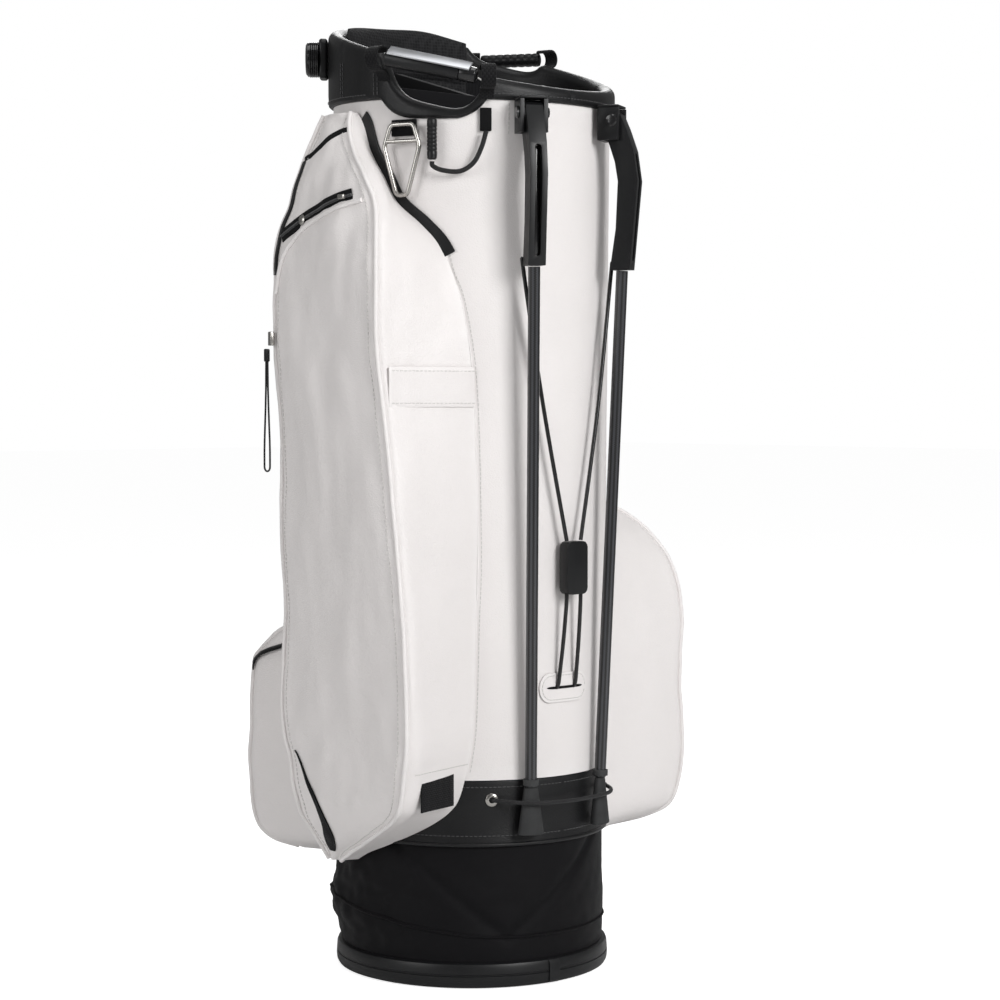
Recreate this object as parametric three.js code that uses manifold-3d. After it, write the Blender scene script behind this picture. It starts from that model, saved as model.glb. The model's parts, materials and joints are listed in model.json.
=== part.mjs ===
// Golf stand bag: round tube, tilted collar, hinged base, two spring-out legs and four pockets.
// Millimetres, +Z up, origin on the ground at the tube's axis. Legs face -Y, the spine is at +Y.
import * as THREE from 'three';
import Module from 'manifold-3d';
import { mergeVertices } from 'three/addons/utils/BufferGeometryUtils.js';

const wasm = await Module();
wasm.setup();

// Driving dimensions
const GAP = 0.4;               // clearance between touching pieces
const TUBE_R_LOW = 127;        // outer radius of the tube above the lower band
const TUBE_R_TOP = 132;        // outer radius of the tube under the collar
const TUBE_WALL = 4;
const POCKET_GAP = 2.2;        // pockets stand clear of the round wall by this much
const HEM_Z = 131;             // bottom of the lower band
const BAND_TOP_Z = 192;        // top of the lower band
const TUBE_TOP_Z = 806;
const BASE_H = 24;             // height of the moulded base
const BASE_R = 131;
const COLLAR_R_OUT = 137;
const COLLAR_R_IN = 122;
const RIM_MID_Z = 866;         // height of the rim on the axis
const RIM_RISE = 39.5;         // rise of the rim from the axis to the spine
const SCOOP_AZ = 58;           // centre of the near handle scoop, towards -X from -Y
const SCOOP_HALF = 22;
const SCOOP_DEPTH = 36;
const LEG_AZ = 20.8;           // leg pivots stand at this angle each side of -Y
const LEG_YAW = 28;            // swing direction of each leg, each side of -Y
const PIVOT_R = 150;
const PIVOT_Z = 800;
const SHOULDER_END_Z = 662;
const FOOT_R = 137.5;          // radius at which a folded leg ends
const LEG_TUBE_R = 6.35;
const LEG_END_Z = 187;
const FOOT_LOW_Z = 143;
const HOOK_R = 144;
const HOOK_AZ = 23.5;
const HOOK_Z = 668;
const YOKE_LOW_Z = 362;
const YOKE_TOP_Z = 411;
const YOKE_Y = -140;
const ROD_R = 1.9;
const ROD_X = 9;
const SLOT_Z = 275;
const SWIVEL_LEFT_AZ = -132;
const SWIVEL_RIGHT_AZ = 150;
const SWIVEL_Z = 866;
const HANDLE_R = 148;
const FAR_HANDLE_AZ = 122;
const FAR_HANDLE_Z = 884;
const HINGE_Y = -105;          // base hinge pin
const HINGE_Z = 31;
const STAY_R = 110;            // frame stays stand on the hinge bracket
const STAY_AZ = 17;
const TOWEL_RING_Z = 793;      // top of the hanging ring
const RING_STEPS = 80;         // steps round the tube and the collar

const group = new THREE.Group();

// Helpers
const rad = THREE.MathUtils.degToRad;
const polar = (radius, azimuth, z) => new THREE.Vector3(
  radius * Math.sin(rad(azimuth)), -radius * Math.cos(rad(azimuth)), z);
const tubeR = (z) => TUBE_R_LOW
  + (TUBE_R_TOP - TUBE_R_LOW) * THREE.MathUtils.clamp((z - HEM_Z) / (TUBE_TOP_Z - HEM_Z), 0, 1);
const lerp = THREE.MathUtils.lerp;

function paint(color, roughness, metalness = 0) {
  return new THREE.MeshStandardMaterial({ color, roughness, metalness });
}
const WHITE = () => paint(0xeeeeec, 0.55);
const BLACK_LEATHER = () => paint(0x141416, 0.5);
const BLACK_PLASTIC = () => paint(0x17181a, 0.45);
const BLACK_FABRIC = () => paint(0x0e0e10, 0.85);
const LINING = () => paint(0x1b1b1e, 0.9);
const STEEL = () => paint(0xc3c5c6, 0.3, 1);
const CARBON = () => paint(0x1d1e20, 0.3);
const RUBBER = () => paint(0x2a2b2c, 0.8);

function add(name, geometry, material, parent = group) {
  const mesh = new THREE.Mesh(geometry, material);
  mesh.name = name;
  parent.add(mesh);
  return mesh;
}

function signedVolume(points, faces) {
  let sum = 0;
  for (const [a, b, c] of faces) {
    sum += points[a].dot(new THREE.Vector3().crossVectors(points[b], points[c]));
  }
  return sum;
}

function solidFrom(points, faces) {
  const out = signedVolume(points, faces) < 0 ? faces.map(([a, b, c]) => [a, c, b]) : faces;
  const geometry = new THREE.BufferGeometry();
  geometry.setAttribute('position',
    new THREE.Float32BufferAttribute(points.flatMap((p) => [p.x, p.y, p.z]), 3));
  geometry.setIndex(out.flat());
  return geometry;
}

// Triangles that fill a flat outline, all turning the same way round as its corners do.
function fill(outline) {
  const flat = outline.map(([x, y]) => new THREE.Vector2(x, y));
  const outlineTurn = Math.sign(THREE.ShapeUtils.area(flat));
  return THREE.ShapeUtils.triangulateShape(flat, []).map(([a, b, c]) => {
    const turn = Math.sign(THREE.ShapeUtils.area([flat[a], flat[b], flat[c]]));
    return turn === outlineTurn ? [a, b, c] : [a, c, b];
  });
}

// Joins sections of equal count into one closed solid; an open run gets its two ends filled.
function skin(sections, endOutlines) {
  const count = sections[0].length;
  const faces = [];
  const spans = endOutlines ? sections.length - 1 : sections.length;
  for (let k = 0; k < spans; k += 1) {
    const here = k * count;
    const next = ((k + 1) % sections.length) * count;
    for (let i = 0; i < count; i += 1) {
      const j = (i + 1) % count;
      faces.push([here + i, here + j, next + j], [here + i, next + j, next + i]);
    }
  }
  if (endOutlines) {
    const last = (sections.length - 1) * count;
    faces.push(...fill(endOutlines[0]).map(([a, b, c]) => [a, c, b]));
    faces.push(...fill(endOutlines[1]).map(([a, b, c]) => [a + last, b + last, c + last]));
  }
  return solidFrom(sections.flat(), faces);
}

const loft = (rings) => skin(rings,
  [rings[0], rings[rings.length - 1]].map((ring) => ring.map((p) => [p.x, p.y])));

// A ring wall around the axis whose cross-section outline(az) gives [radius, z] points.
function ringWall(outline, from = -180, to = 180, steps = 60) {
  const full = to - from >= 360;
  const sections = [];
  for (let i = 0; i < (full ? steps : steps + 1); i += 1) {
    const azimuth = from + (to - from) * i / steps;
    sections.push(outline(azimuth).map(([r, z]) => polar(r, azimuth, z)));
  }
  return skin(sections, full ? null : [outline(from), outline(to)]);
}

function extrude(points, depth, holes = []) {
  const shape = new THREE.Shape(points.map(([x, y]) => new THREE.Vector2(x, y)));
  for (const hole of holes) {
    shape.holes.push(new THREE.Path(hole.map(([x, y]) => new THREE.Vector2(x, y))));
  }
  return new THREE.ExtrudeGeometry(shape, { depth, bevelEnabled: false, steps: 1 });
}

function roundedRect(width, height, radius, segments = 3) {
  const points = [];
  const corners = [[1, 1, 0], [-1, 1, 90], [-1, -1, 180], [1, -1, 270]];
  for (const [sx, sy, start] of corners) {
    for (let i = 0; i <= segments; i += 1) {
      const angle = rad(start + 90 * i / segments);
      points.push([
        sx * (width / 2 - radius) + radius * Math.cos(angle),
        sy * (height / 2 - radius) + radius * Math.sin(angle),
      ]);
    }
  }
  return points;
}

function circlePoints(radius, segments, cx = 0, cy = 0) {
  return Array.from({ length: segments }, (_, i) => {
    const angle = 2 * Math.PI * i / segments;
    return [cx + radius * Math.cos(angle), cy + radius * Math.sin(angle)];
  });
}

// A profile of [radius, z] points turned round the axis; its order round the section doesn't matter.
function lathe(points, segments = 60) {
  const area = points.reduce((sum, [r, z], i) => {
    const [nextR, nextZ] = points[(i + 1) % points.length];
    return sum + r * nextZ - nextR * z;
  }, 0);
  const profile = area > 0 ? points : [...points].reverse();
  const geometry = new THREE.LatheGeometry(profile.map(([r, z]) => new THREE.Vector2(r, z)), segments);
  geometry.rotateX(Math.PI / 2);
  return geometry;
}

function tubeAlong(points, radius, steps, sides = 8) {
  const curve = new THREE.CatmullRomCurve3(points);
  const ring = circlePoints(radius, sides).map(([x, y]) => new THREE.Vector2(x, y));
  return new THREE.ExtrudeGeometry(new THREE.Shape(ring),
    { steps, bevelEnabled: false, extrudePath: curve });
}

function rodBetween(a, b, radiusA, radiusB = radiusA, segments = 12) {
  const length = a.distanceTo(b);
  const geometry = new THREE.CylinderGeometry(radiusB, radiusA, length, segments);
  geometry.rotateX(Math.PI / 2);
  const turn = new THREE.Quaternion().setFromUnitVectors(
    new THREE.Vector3(0, 0, 1), b.clone().sub(a).normalize());
  geometry.applyQuaternion(turn);
  geometry.translate(...a.clone().add(b).multiplyScalar(0.5).toArray());
  return geometry;
}

// Puts a geometry drawn with x = tangential, y = inward and z = up on the wall at an azimuth.
function atWall(geometry, radius, azimuth, z) {
  geometry.rotateZ(rad(azimuth));
  geometry.translate(...polar(radius, azimuth, z).toArray());
  return geometry;
}

function toManifold(geometry) {
  const bare = geometry.clone();
  bare.deleteAttribute('normal');
  bare.deleteAttribute('uv');
  const merged = mergeVertices(bare, 1e-4);
  return new wasm.Manifold(new wasm.Mesh({
    numProp: 3,
    vertProperties: new Float32Array(merged.attributes.position.array),
    triVerts: new Uint32Array(merged.index.array),
  }));
}

function fromManifold(solid) {
  const mesh = solid.getMesh();
  const geometry = new THREE.BufferGeometry();
  geometry.setAttribute('position', new THREE.BufferAttribute(mesh.vertProperties, 3));
  geometry.setIndex(new THREE.BufferAttribute(mesh.triVerts, 1));
  return geometry;
}

// Rim heights around the collar: a tilted plane with a scoop under each carrying handle.
const rimPlane = (azimuth) => RIM_MID_Z - RIM_RISE * Math.cos(rad(azimuth));
function scoop(azimuth, centre, half) {
  const t = Math.abs(((azimuth - centre + 540) % 360) - 180) / half;
  return t < 1 ? 1 - t ** 4 : 0;
}
const nearScoop = (azimuth) => scoop(azimuth, -SCOOP_AZ, SCOOP_HALF);
const farScoop = (azimuth) => scoop(azimuth, 180 - SCOOP_AZ, SCOOP_HALF * 0.8);
const collarHigh = (azimuth) => rimPlane(azimuth)
  - SCOOP_DEPTH * nearScoop(azimuth) - 12 * farScoop(azimuth);
const collarLow = (azimuth) => 816.5 - 4 * Math.cos(rad(azimuth)) - 18 * nearScoop(azimuth);
const collarSeat = (azimuth) => Math.min(collarLow(azimuth), collarHigh(azimuth) - 9);

// The tube steps in behind the lower band, and its top follows the underside of the collar.
function tubeOutline(azimuth) {
  const low = TUBE_R_LOW - 2.4;
  const top = collarSeat(azimuth) - GAP;
  return [[low, HEM_Z - 6], [low, BAND_TOP_Z], [TUBE_R_LOW, BAND_TOP_Z + 0.6], [TUBE_R_TOP, top],
    [TUBE_R_TOP - TUBE_WALL, top], [TUBE_R_LOW - TUBE_WALL, BAND_TOP_Z + 0.6],
    [low - TUBE_WALL, BAND_TOP_Z - 3], [low - TUBE_WALL, HEM_Z - 6]];
}

function buildTube() {
  const low = TUBE_R_LOW - 2.4;
  add('tube', ringWall(tubeOutline, -180, 180, RING_STEPS), WHITE());
  add('lower_band', lathe([
    [low + GAP, HEM_Z], [TUBE_R_LOW + 1.2, HEM_Z], [TUBE_R_LOW + 1.2, HEM_Z + 5],
    [TUBE_R_LOW, HEM_Z + 6.5], [TUBE_R_LOW - 0.2, BAND_TOP_Z - GAP], [low + GAP, BAND_TOP_Z - GAP],
    [low + GAP, HEM_Z],
  ]), BLACK_LEATHER());
  add('boot_skirt', lathe([
    [122, BASE_H + 6], [126, BASE_H + 2], [127, 60], [127, 100], [125.5, HEM_Z - 6.6],
    [121.5, HEM_Z - 6.6], [123, 100], [123, 60], [122, BASE_H + 6],
  ]), BLACK_FABRIC());
}

function collarOutline(azimuth) {
  const top = collarHigh(azimuth);
  const low = collarSeat(azimuth);
  const bulge = Math.min(4, (top - low) * 0.2);
  return [
    [COLLAR_R_OUT - 2.5, low], [COLLAR_R_OUT, low + bulge], [COLLAR_R_OUT, top - bulge],
    [COLLAR_R_OUT - 3, top - 0.5], [COLLAR_R_IN + 3, top], [COLLAR_R_IN, top - bulge],
    [COLLAR_R_IN, low + bulge], [COLLAR_R_IN + 1.5, low],
  ];
}

function buildCollar() {
  add('collar', ringWall(collarOutline, -180, 180, RING_STEPS), BLACK_LEATHER());
  const crest = (azimuth) => {
    const t = (azimuth - 180) / 40;
    const top = rimPlane(azimuth) - 4 + 6 * (1 - t * t);
    return [[119, 826], [121.3, 828], [121.3, top - 3], [119.5, top], [115, top - 1], [112.5, top - 8],
      [112.5, 832], [115, 827]];
  };
  add('crest_pad', ringWall(crest, 140, 220, 12), BLACK_FABRIC());
}

// Carrying handles: a flat bar over the near scoop and a wrapped grip on the far side of the rim.
function buildHandles() {
  const [start, end] = [-SCOOP_AZ - 15.5, -SCOOP_AZ + 17.5]
    .map((azimuth) => polar(HANDLE_R, azimuth, rimPlane(azimuth) - 4));
  const run = end.clone().sub(start);
  const at = (t) => start.clone().addScaledVector(run, t);
  add('near_handle_bar', rodBetween(at(0), at(0.82), 8, 7.5, 10), BLACK_PLASTIC());
  add('near_handle_grip', rodBetween(at(0.826), at(1), 8, 7, 10), BLACK_PLASTIC());
  const along = run.clone().normalize();
  const lift = new THREE.Vector3(0, 0, 1).addScaledVector(polar(1, -SCOOP_AZ, 0), 0.45);
  lift.addScaledVector(along, -lift.dot(along)).normalize();
  const side = new THREE.Vector3().crossVectors(lift, along);
  const plate = new THREE.BoxGeometry(13, 1.6, run.length() * 0.8);
  plate.applyMatrix4(new THREE.Matrix4().makeBasis(side, lift, along));
  plate.translate(...at(0.41).addScaledVector(lift, 9.2).toArray());
  add('near_handle_plate', plate, STEEL());
  const far = [-12, 12].map((offset) => polar(HANDLE_R, FAR_HANDLE_AZ + offset, FAR_HANDLE_Z));
  add('far_handle_grip', rodBetween(far[0], far[1], 6, 6, 10), BLACK_PLASTIC());
  for (const [name, azimuth, z] of [
    ['near_handle_loop_back', -SCOOP_AZ - 19.5, rimPlane(-SCOOP_AZ - 19.5) - 14],
    ['near_handle_loop_front', -SCOOP_AZ + 21.5, rimPlane(-SCOOP_AZ + 21.5) - 14],
    ['far_handle_loop_front', FAR_HANDLE_AZ - 15.5, FAR_HANDLE_Z - 6],
    ['far_handle_loop_back', FAR_HANDLE_AZ + 15.5, FAR_HANDLE_Z - 6],
  ]) {
    const loop = extrude(roundedRect(14, 26, 5), 13);
    loop.rotateX(Math.PI / 2);
    add(name, atWall(loop, COLLAR_R_OUT + GAP, azimuth, z), BLACK_FABRIC());
  }
}

function buildDividers() {
  const drop = 34;
  const railTop = (y) => RIM_MID_Z + RIM_RISE * y / COLLAR_R_OUT - drop;
  const spine = extrude([[-118, railTop(-118) - 20], [108, railTop(108) - 20], [108, railTop(108)],
    [-118, railTop(-118)]], 10);
  spine.rotateX(Math.PI / 2);
  spine.rotateZ(Math.PI / 2);
  spine.translate(-5, 0, 0);
  const cross = new THREE.BoxGeometry(236, 10, 20);
  cross.translate(0, -6, railTop(-6) - 10);
  add('divider_top', fromManifold(toManifold(spine).add(toManifold(cross))), BLACK_FABRIC());
  for (const [name, y0, y1] of [['divider_panel_front', -112, -8], ['divider_panel_spine', 0, 108]]) {
    const low = 40;
    const panel = extrude([[y0, low], [y1, low], [y1, railTop(y1) - 20.5], [y0, railTop(y0) - 20.5]], 2);
    panel.rotateX(Math.PI / 2);
    panel.rotateZ(Math.PI / 2);
    panel.translate(-1, 0, 0);
    add(name, panel, LINING());
  }
  const across = new THREE.BoxGeometry(228, 2, railTop(-6) - 20.5 - 40);
  across.translate(0, -6, (railTop(-6) - 20.5 + 40) / 2);
  add('divider_panel_cross', across, LINING());
}

function buildFrame() {
  const foot = (side) => polar(STAY_R, side * STAY_AZ, HINGE_Z + 8);
  for (const [name, side] of [['frame_stay_left', -1], ['frame_stay_right', 1]]) {
    add(name, rodBetween(foot(side), polar(STAY_R, side * STAY_AZ, 800), 3, 3, 8), STEEL());
  }
  // Base hinge: a pin held by a bracket that the stays stand on.
  const ends = [-46, 46].map((x) => new THREE.Vector3(x, HINGE_Y, HINGE_Z));
  add('base_hinge_pin', rodBetween(ends[0], ends[1], 2.5, 2.5, 12), STEEL());
  const lug = extrude([[-6, -1], [-2.5, -6], [2.5, -6], [6, -1], [6, 7.5], [-6, 7.5]], 76, [circlePoints(2.5 + GAP, 12)]);
  lug.rotateY(Math.PI / 2);
  lug.rotateX(Math.PI / 2);
  lug.translate(-38, HINGE_Y, HINGE_Z);
  add('base_hinge_bracket', lug, BLACK_PLASTIC());
}

function buildBase() {
  const plate = lathe([
    [0, 0], [BASE_R - 5, 0], [BASE_R - 1, 3], [BASE_R, 8], [BASE_R - 1, BASE_H - 4],
    [BASE_R - 4, BASE_H - GAP], [0, BASE_H - GAP],
  ], 60);
  let solid = toManifold(plate);
  for (const side of [-1, 1]) {
    const knuckle = extrude([[12, -5], [12, 5], [-5, 5], [-5, -5]], 6, [circlePoints(2.5 + GAP, 12)]);
    knuckle.rotateY(Math.PI / 2);
    knuckle.translate(side * 42 - 3, HINGE_Y, HINGE_Z);
    solid = solid.add(toManifold(knuckle));
  }
  add('base_plate', fromManifold(solid), BLACK_PLASTIC());
}

function legPoints(side) {
  const pivot = polar(PIVOT_R, side * LEG_AZ, PIVOT_Z);
  const out = new THREE.Vector3(side * Math.sin(rad(LEG_YAW)), -Math.cos(rad(LEG_YAW)), 0);
  const shoulderEnd = pivot.clone().addScaledVector(out, 7);
  shoulderEnd.z = SHOULDER_END_Z;
  return { pivot, out, shoulderEnd, foot: polar(FOOT_R, side * 19, LEG_END_Z) };
}

function buildLeg(word, side) {
  const { pivot, shoulderEnd, foot } = legPoints(side);
  const place = (geometry) => {
    geometry.rotateZ(rad(side * LEG_YAW));
    geometry.translate(...pivot.toArray());
    return geometry;
  };
  // Bracket: a U in plan, open outwards.
  const bracket = extrude([[-13, 13.4], [-13, -7], [-9.2, -7], [-9.2, 8.6], [9.2, 8.6], [9.2, -7],
    [13, -7], [13, 13.4]], 30);
  bracket.translate(0, 0, -18);
  const bore = new THREE.CylinderGeometry(3 + GAP, 3 + GAP, 60, 12);
  bore.rotateZ(Math.PI / 2);
  const drilled = fromManifold(toManifold(bracket).subtract(toManifold(bore)));
  add(`leg_bracket_${word}`, place(drilled), BLACK_PLASTIC());
  const pin = new THREE.CylinderGeometry(3, 3, 29, 12);
  pin.rotateZ(Math.PI / 2);
  add(`leg_pin_${word}`, place(pin), STEEL());
  // Shoulder: a bowed arm with an oval slot, seen from the side as outward offset and height.
  const low = SHOULDER_END_Z - PIVOT_Z;
  const sideView = [[7, 6], [3, 9], [-4, 9], [-7, 4], [-7, -8], [-4, -20], [2, -38], [5, -56], [3, -100],
    [-2.5, low], [16.5, low], [21, -100], [24, -56], [20, -28], [13, -8]].map(([r, z]) => [-r, z]);
  const arm = extrude(sideView, 16.4, [circlePoints(3 + GAP, 12)]);
  arm.rotateX(Math.PI / 2);
  arm.rotateZ(Math.PI / 2);
  arm.translate(-8.2, 0, 0);
  const slot = extrude(roundedRect(6, 100, 3, 4), 80);
  slot.rotateX(Math.PI / 2);
  slot.translate(0, 20, -80);
  add(`leg_shoulder_${word}`, place(fromManifold(toManifold(arm).subtract(toManifold(slot)))),
    BLACK_PLASTIC());
  const top = shoulderEnd.clone();
  top.z -= GAP + 0.4;
  const bottom = foot.clone();
  add(`leg_tube_${word}`, rodBetween(bottom, top, LEG_TUBE_R, LEG_TUBE_R, 12), CARBON());
  // Rubber foot: flared across, flat towards the bag.
  const footGeometry = new THREE.CylinderGeometry(6.8, 13, LEG_END_Z - GAP - FOOT_LOW_Z, 16);
  footGeometry.rotateX(Math.PI / 2);
  footGeometry.scale(1, 0.62, 1);
  add(`leg_foot_${word}`, atWall(footGeometry, FOOT_R, side * 19,
    (LEG_END_Z - GAP + FOOT_LOW_Z) / 2 - 0.3), RUBBER());
}

function buildActuator() {
  const yoke = extrude(roundedRect(26, YOKE_TOP_Z - YOKE_LOW_Z, 6, 3), 11);
  yoke.rotateX(Math.PI / 2);
  yoke.translate(0, YOKE_Y + 5.5, (YOKE_TOP_Z + YOKE_LOW_Z) / 2);
  let yokeSolid = toManifold(yoke);
  for (const [word, side] of [['left', -1], ['right', 1]]) {
    const hook = polar(HOOK_R, side * HOOK_AZ, HOOK_Z);
    const low = new THREE.Vector3(side * ROD_X, YOKE_Y, YOKE_TOP_Z + 0.6);
    const mid = low.clone().lerp(hook, 0.5);
    mid.x += side * 3;
    add(`push_rod_${word}`, tubeAlong([low, mid, hook], ROD_R, 14), STEEL());
    const slotEnd = new THREE.Vector3(side * ROD_X, -134.2, SLOT_Z + 3);
    const under = new THREE.Vector3(side * ROD_X, YOKE_Y, YOKE_LOW_Z + 6);
    yokeSolid = yokeSolid.add(toManifold(rodBetween(slotEnd, under, ROD_R, ROD_R, 8)));
  }
  add('yoke', fromManifold(yokeSolid), BLACK_PLASTIC());
  const radius = tubeR(SLOT_Z) + GAP + 0.2;
  const halfWidth = 15;
  const patch = ringWall(() => [[radius, SLOT_Z - 16], [radius + 1.5, SLOT_Z - 16],
    [radius + 1.5, SLOT_Z + 16], [radius, SLOT_Z + 16]], -halfWidth, halfWidth, 10);
  add('slot_patch', patch, WHITE());
}

// A pocket's plan outline at one height: along the wall, then round the outer face.
function pocketRing({ z, reach, front, back, wallFront, wallBack, bulge = 4 }, place) {
  const wallR = tubeR(z) + POCKET_GAP;
  const ring = [];
  const arcSteps = 8;
  for (let i = 0; i <= arcSteps; i += 1) {
    const azimuth = lerp(wallBack, wallFront, i / arcSteps);
    ring.push([wallR / Math.cos(rad(Math.abs(wallBack - wallFront) / arcSteps / 2)) * Math.sin(rad(azimuth)),
      -wallR / Math.cos(rad(Math.abs(wallBack - wallFront) / arcSteps / 2)) * Math.cos(rad(azimuth))]);
  }
  const round = Math.min(16, (back - front) / 3, (reach - wallR) * 0.8);
  ring.push([reach - round, front], [reach - round * 0.3, front + round * 0.3], [reach, front + round]);
  for (const t of [0.25, 0.5, 0.75]) {
    ring.push([reach + bulge * Math.sin(Math.PI * t), lerp(front + round, back - round, t)]);
  }
  ring.push([reach, back - round], [reach - round * 0.3, back - round * 0.3], [reach - round, back]);
  return ring.map(([x, y]) => place(x, y, z));
}

const TO_NEAR = (x, y, z) => new THREE.Vector3(-x, y, z);
const TO_FAR = (x, y, z) => new THREE.Vector3(x, y, z);
const TO_SPINE = (x, y, z) => new THREE.Vector3(-y, x, z);

function buildPockets() {
  // z, reach, front, back, wallFront, wallBack; azimuths are measured from -Y towards the pocket.
  const near = [
    [110, 144, 22, 44, 98, 109], [119, 151, 4, 46, 90, 110], [128, 157, -16, 48, 80, 111],
    [140, 165, -43, 50, 68, 112], [152, 172, -68, 52, 58, 113], [164, 177, -90, 53, 51, 113.5],
    [178, 181, -104, 54, 47, 114], [208, 184, -113, 57, 43.8, 115], [245, 185, -118, 66, 41.8, 119],
    [340, 184, -112, 68, 40.6, 119], [450, 184, -98, 69, 40, 119], [567, 186, -82, 73, 42.2, 121],
    [636, 186, -78, 75, 47, 122], [678, 185, -76, 74, 54, 122], [700, 183, -73, 72, 62, 121],
  ];
  const valuables = [
    [700.6, 178, -71, 68, 63, 121], [722, 176, -62, 66, 73, 120], [745, 171, -44, 64, 79, 120],
    [770, 161, -16, 62, 86, 120], [795, 149, 2, 56, 90, 118], [806, 142, 8, 50, 94, 116],
  ];
  const rows = (list) => list.map(([z, reach, front, back, wallFront, wallBack]) => (
    { z, reach, front, back, wallFront, wallBack }));
  add('near_pocket', loft(rows(near).map((row) => pocketRing(row, TO_NEAR))), WHITE());
  add('valuables_pocket', loft(rows(valuables).map((row) => pocketRing({ ...row, bulge: 2 }, TO_NEAR))),
    WHITE());
  const far = [
    [118, 152, -40, 40, 62, 118], [127, 180, -66, 66, 52, 128], [141, 197, -84, 84, 45, 135],
    [170, 205, -90, 90, 42, 138], [240, 207, -92, 92, 42, 138], [330, 206, -91, 91, 42, 138],
    [380, 198, -82, 82, 45, 135], [408, 186, -68, 68, 51, 129], [430, 166, -48, 48, 60, 120],
    [440, 148, -32, 32, 68, 112],
  ];
  add('far_pocket', loft(rows(far).map((row) => pocketRing(row, TO_FAR))), WHITE());
  // Seen from the axis outwards the spine pocket runs from one side to the other.
  const ball = [
    [96, 176, -80, 80, 62, 118], [106, 206, -98, 98, 52, 128], [130, 219, -104, 104, 50, 130],
    [200, 222, -105, 105, 50, 130], [270, 221, -104, 104, 50, 130], [292, 214, -100, 100, 52, 128],
    [318, 180, -88, 88, 56, 124], [335, 142, -74, 74, 60, 120],
  ];
  add('ball_pocket', loft(rows(ball).map((row) => pocketRing(row, TO_SPINE))), WHITE());
}

function curvedStrip(azFrom, azTo, zLow, zHigh, radius, thickness, steps) {
  return ringWall(() => [[radius, zLow], [radius + thickness, zLow], [radius + thickness, zHigh],
    [radius, zHigh]], azFrom, azTo, steps);
}

function buildTrim() {
  add('hip_pad', ringWall(() => [[tubeR(650) + GAP, 400], [tubeR(650) + 12, 404], [tubeR(650) + 15, 425],
    [tubeR(650) + 15, 625], [tubeR(650) + 12, 646], [tubeR(650) + GAP, 650]], 150, 210, 10), BLACK_FABRIC());
  add('towel_webbing', curvedStrip(-75, -64, 781, 796, tubeR(800) + GAP + 0.6, 2.4, 2), BLACK_FABRIC());
  add('umbrella_webbing', curvedStrip(-39, -34.5, 784, 805, tubeR(800) + GAP + 0.6, 3, 2), BLACK_FABRIC());
  const toggle = new THREE.CylinderGeometry(4.6, 4.6, 37, 10);
  toggle.rotateX(Math.PI / 2);
  add('umbrella_toggle', atWall(toggle, 140, -57, 776.5), BLACK_PLASTIC());
  const cordPoints = [[-57, 756.6], [-56.7, 752.5], [-53, 748.5], [-46.5, 747.5], [-41.5, 755],
    [-38.5, 769], [-36.8, 783.4]];
  add('umbrella_cord', tubeAlong(cordPoints.map(([azimuth, z]) => polar(139.5, azimuth, z)), 2.2, 16),
    BLACK_FABRIC());
  // Elastic keeper across the folded legs, eyelet to eyelet.
  for (const [name, azimuth] of [['eyelet_left', -33.9], ['eyelet_right', 33.9]]) {
    const eyelet = extrude(circlePoints(6, 14), 1.6, [circlePoints(2.4, 12)]);
    eyelet.rotateX(Math.PI / 2);
    add(name, atWall(eyelet, TUBE_R_LOW + 0.5, azimuth, 174.5), STEEL());
  }
  const cord = [[130.8, -33.9, 174.5], [133, -31.5, 174.2], [142, -25.5, 173.5], [147.6, -19, 173],
    [147.4, -12, 172.4], [147, 0, 172], [147.4, 12, 172.4], [147.6, 19, 173], [142, 25.5, 173.5],
    [133, 31.5, 174.2], [130.8, 33.9, 174.5]];
  add('retention_cord', tubeAlong(cord.map(([r, azimuth, z]) => polar(r, azimuth, z)), 1.9, 40),
    BLACK_FABRIC());
}

// An elongated hexagon with a cross bar that leaves a slot for the webbing.
function buildTowelRing() {
  const hexagon = (waist, neck, top, low, foot) => {
    const middle = Math.min(top - 3, -22);
    return [[-neck, top], [neck, top], [waist, middle], [foot, low], [-foot, low], [-waist, middle]]
      .reverse();
  };
  const outer = extrude(hexagon(20, 13, 0, -68, 7), 4);
  const window = extrude(hexagon(14, 13, -21, -61, 5), 12);
  window.translate(0, 0, -4);
  const slot = extrude([[-13, -14], [13, -14], [11, -5], [-11, -5]], 12);
  slot.translate(0, 0, -4);
  const ring = fromManifold(toManifold(outer).subtract(toManifold(window)).subtract(toManifold(slot)));
  ring.rotateX(Math.PI / 2);
  ring.translate(0, 2, 0);
  add('towel_ring', atWall(ring, 140.5, -69, TOWEL_RING_Z), STEEL());
}

function buildSwivels() {
  for (const [word, azimuth] of [['left', SWIVEL_LEFT_AZ], ['right', SWIVEL_RIGHT_AZ]]) {
    const block = extrude(roundedRect(26, 38, 5), 8);
    block.rotateX(Math.PI / 2);
    add(`strap_block_${word}`, atWall(block, COLLAR_R_OUT + GAP, azimuth, SWIVEL_Z), BLACK_PLASTIC());
    const disc = lathe([[0, 0], [13, 0], [17, 2.5], [17, 8], [13, 12.5], [0, 12.5]], 24);
    disc.rotateX(Math.PI / 2);
    add(`strap_swivel_${word}`, atWall(disc, COLLAR_R_OUT + 8 + 2 * GAP, azimuth, SWIVEL_Z), BLACK_PLASTIC());
  }
}

// A zip's straight stretch with its slider and hanging pull, at a point with an outward direction.
function buildZip(word, point, outward, along) {
  const frame = new THREE.Matrix4();
  const out = outward.clone().normalize();
  const up = along.clone().normalize();
  frame.makeBasis(new THREE.Vector3().crossVectors(out, up).normalize(), out, up);
  frame.setPosition(point);
  const slider = new THREE.BoxGeometry(8, 4, 13);
  slider.translate(0, 2, 0);
  slider.applyMatrix4(frame);
  add(`${word}_zip_slider`, slider, STEEL());
}

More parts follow.
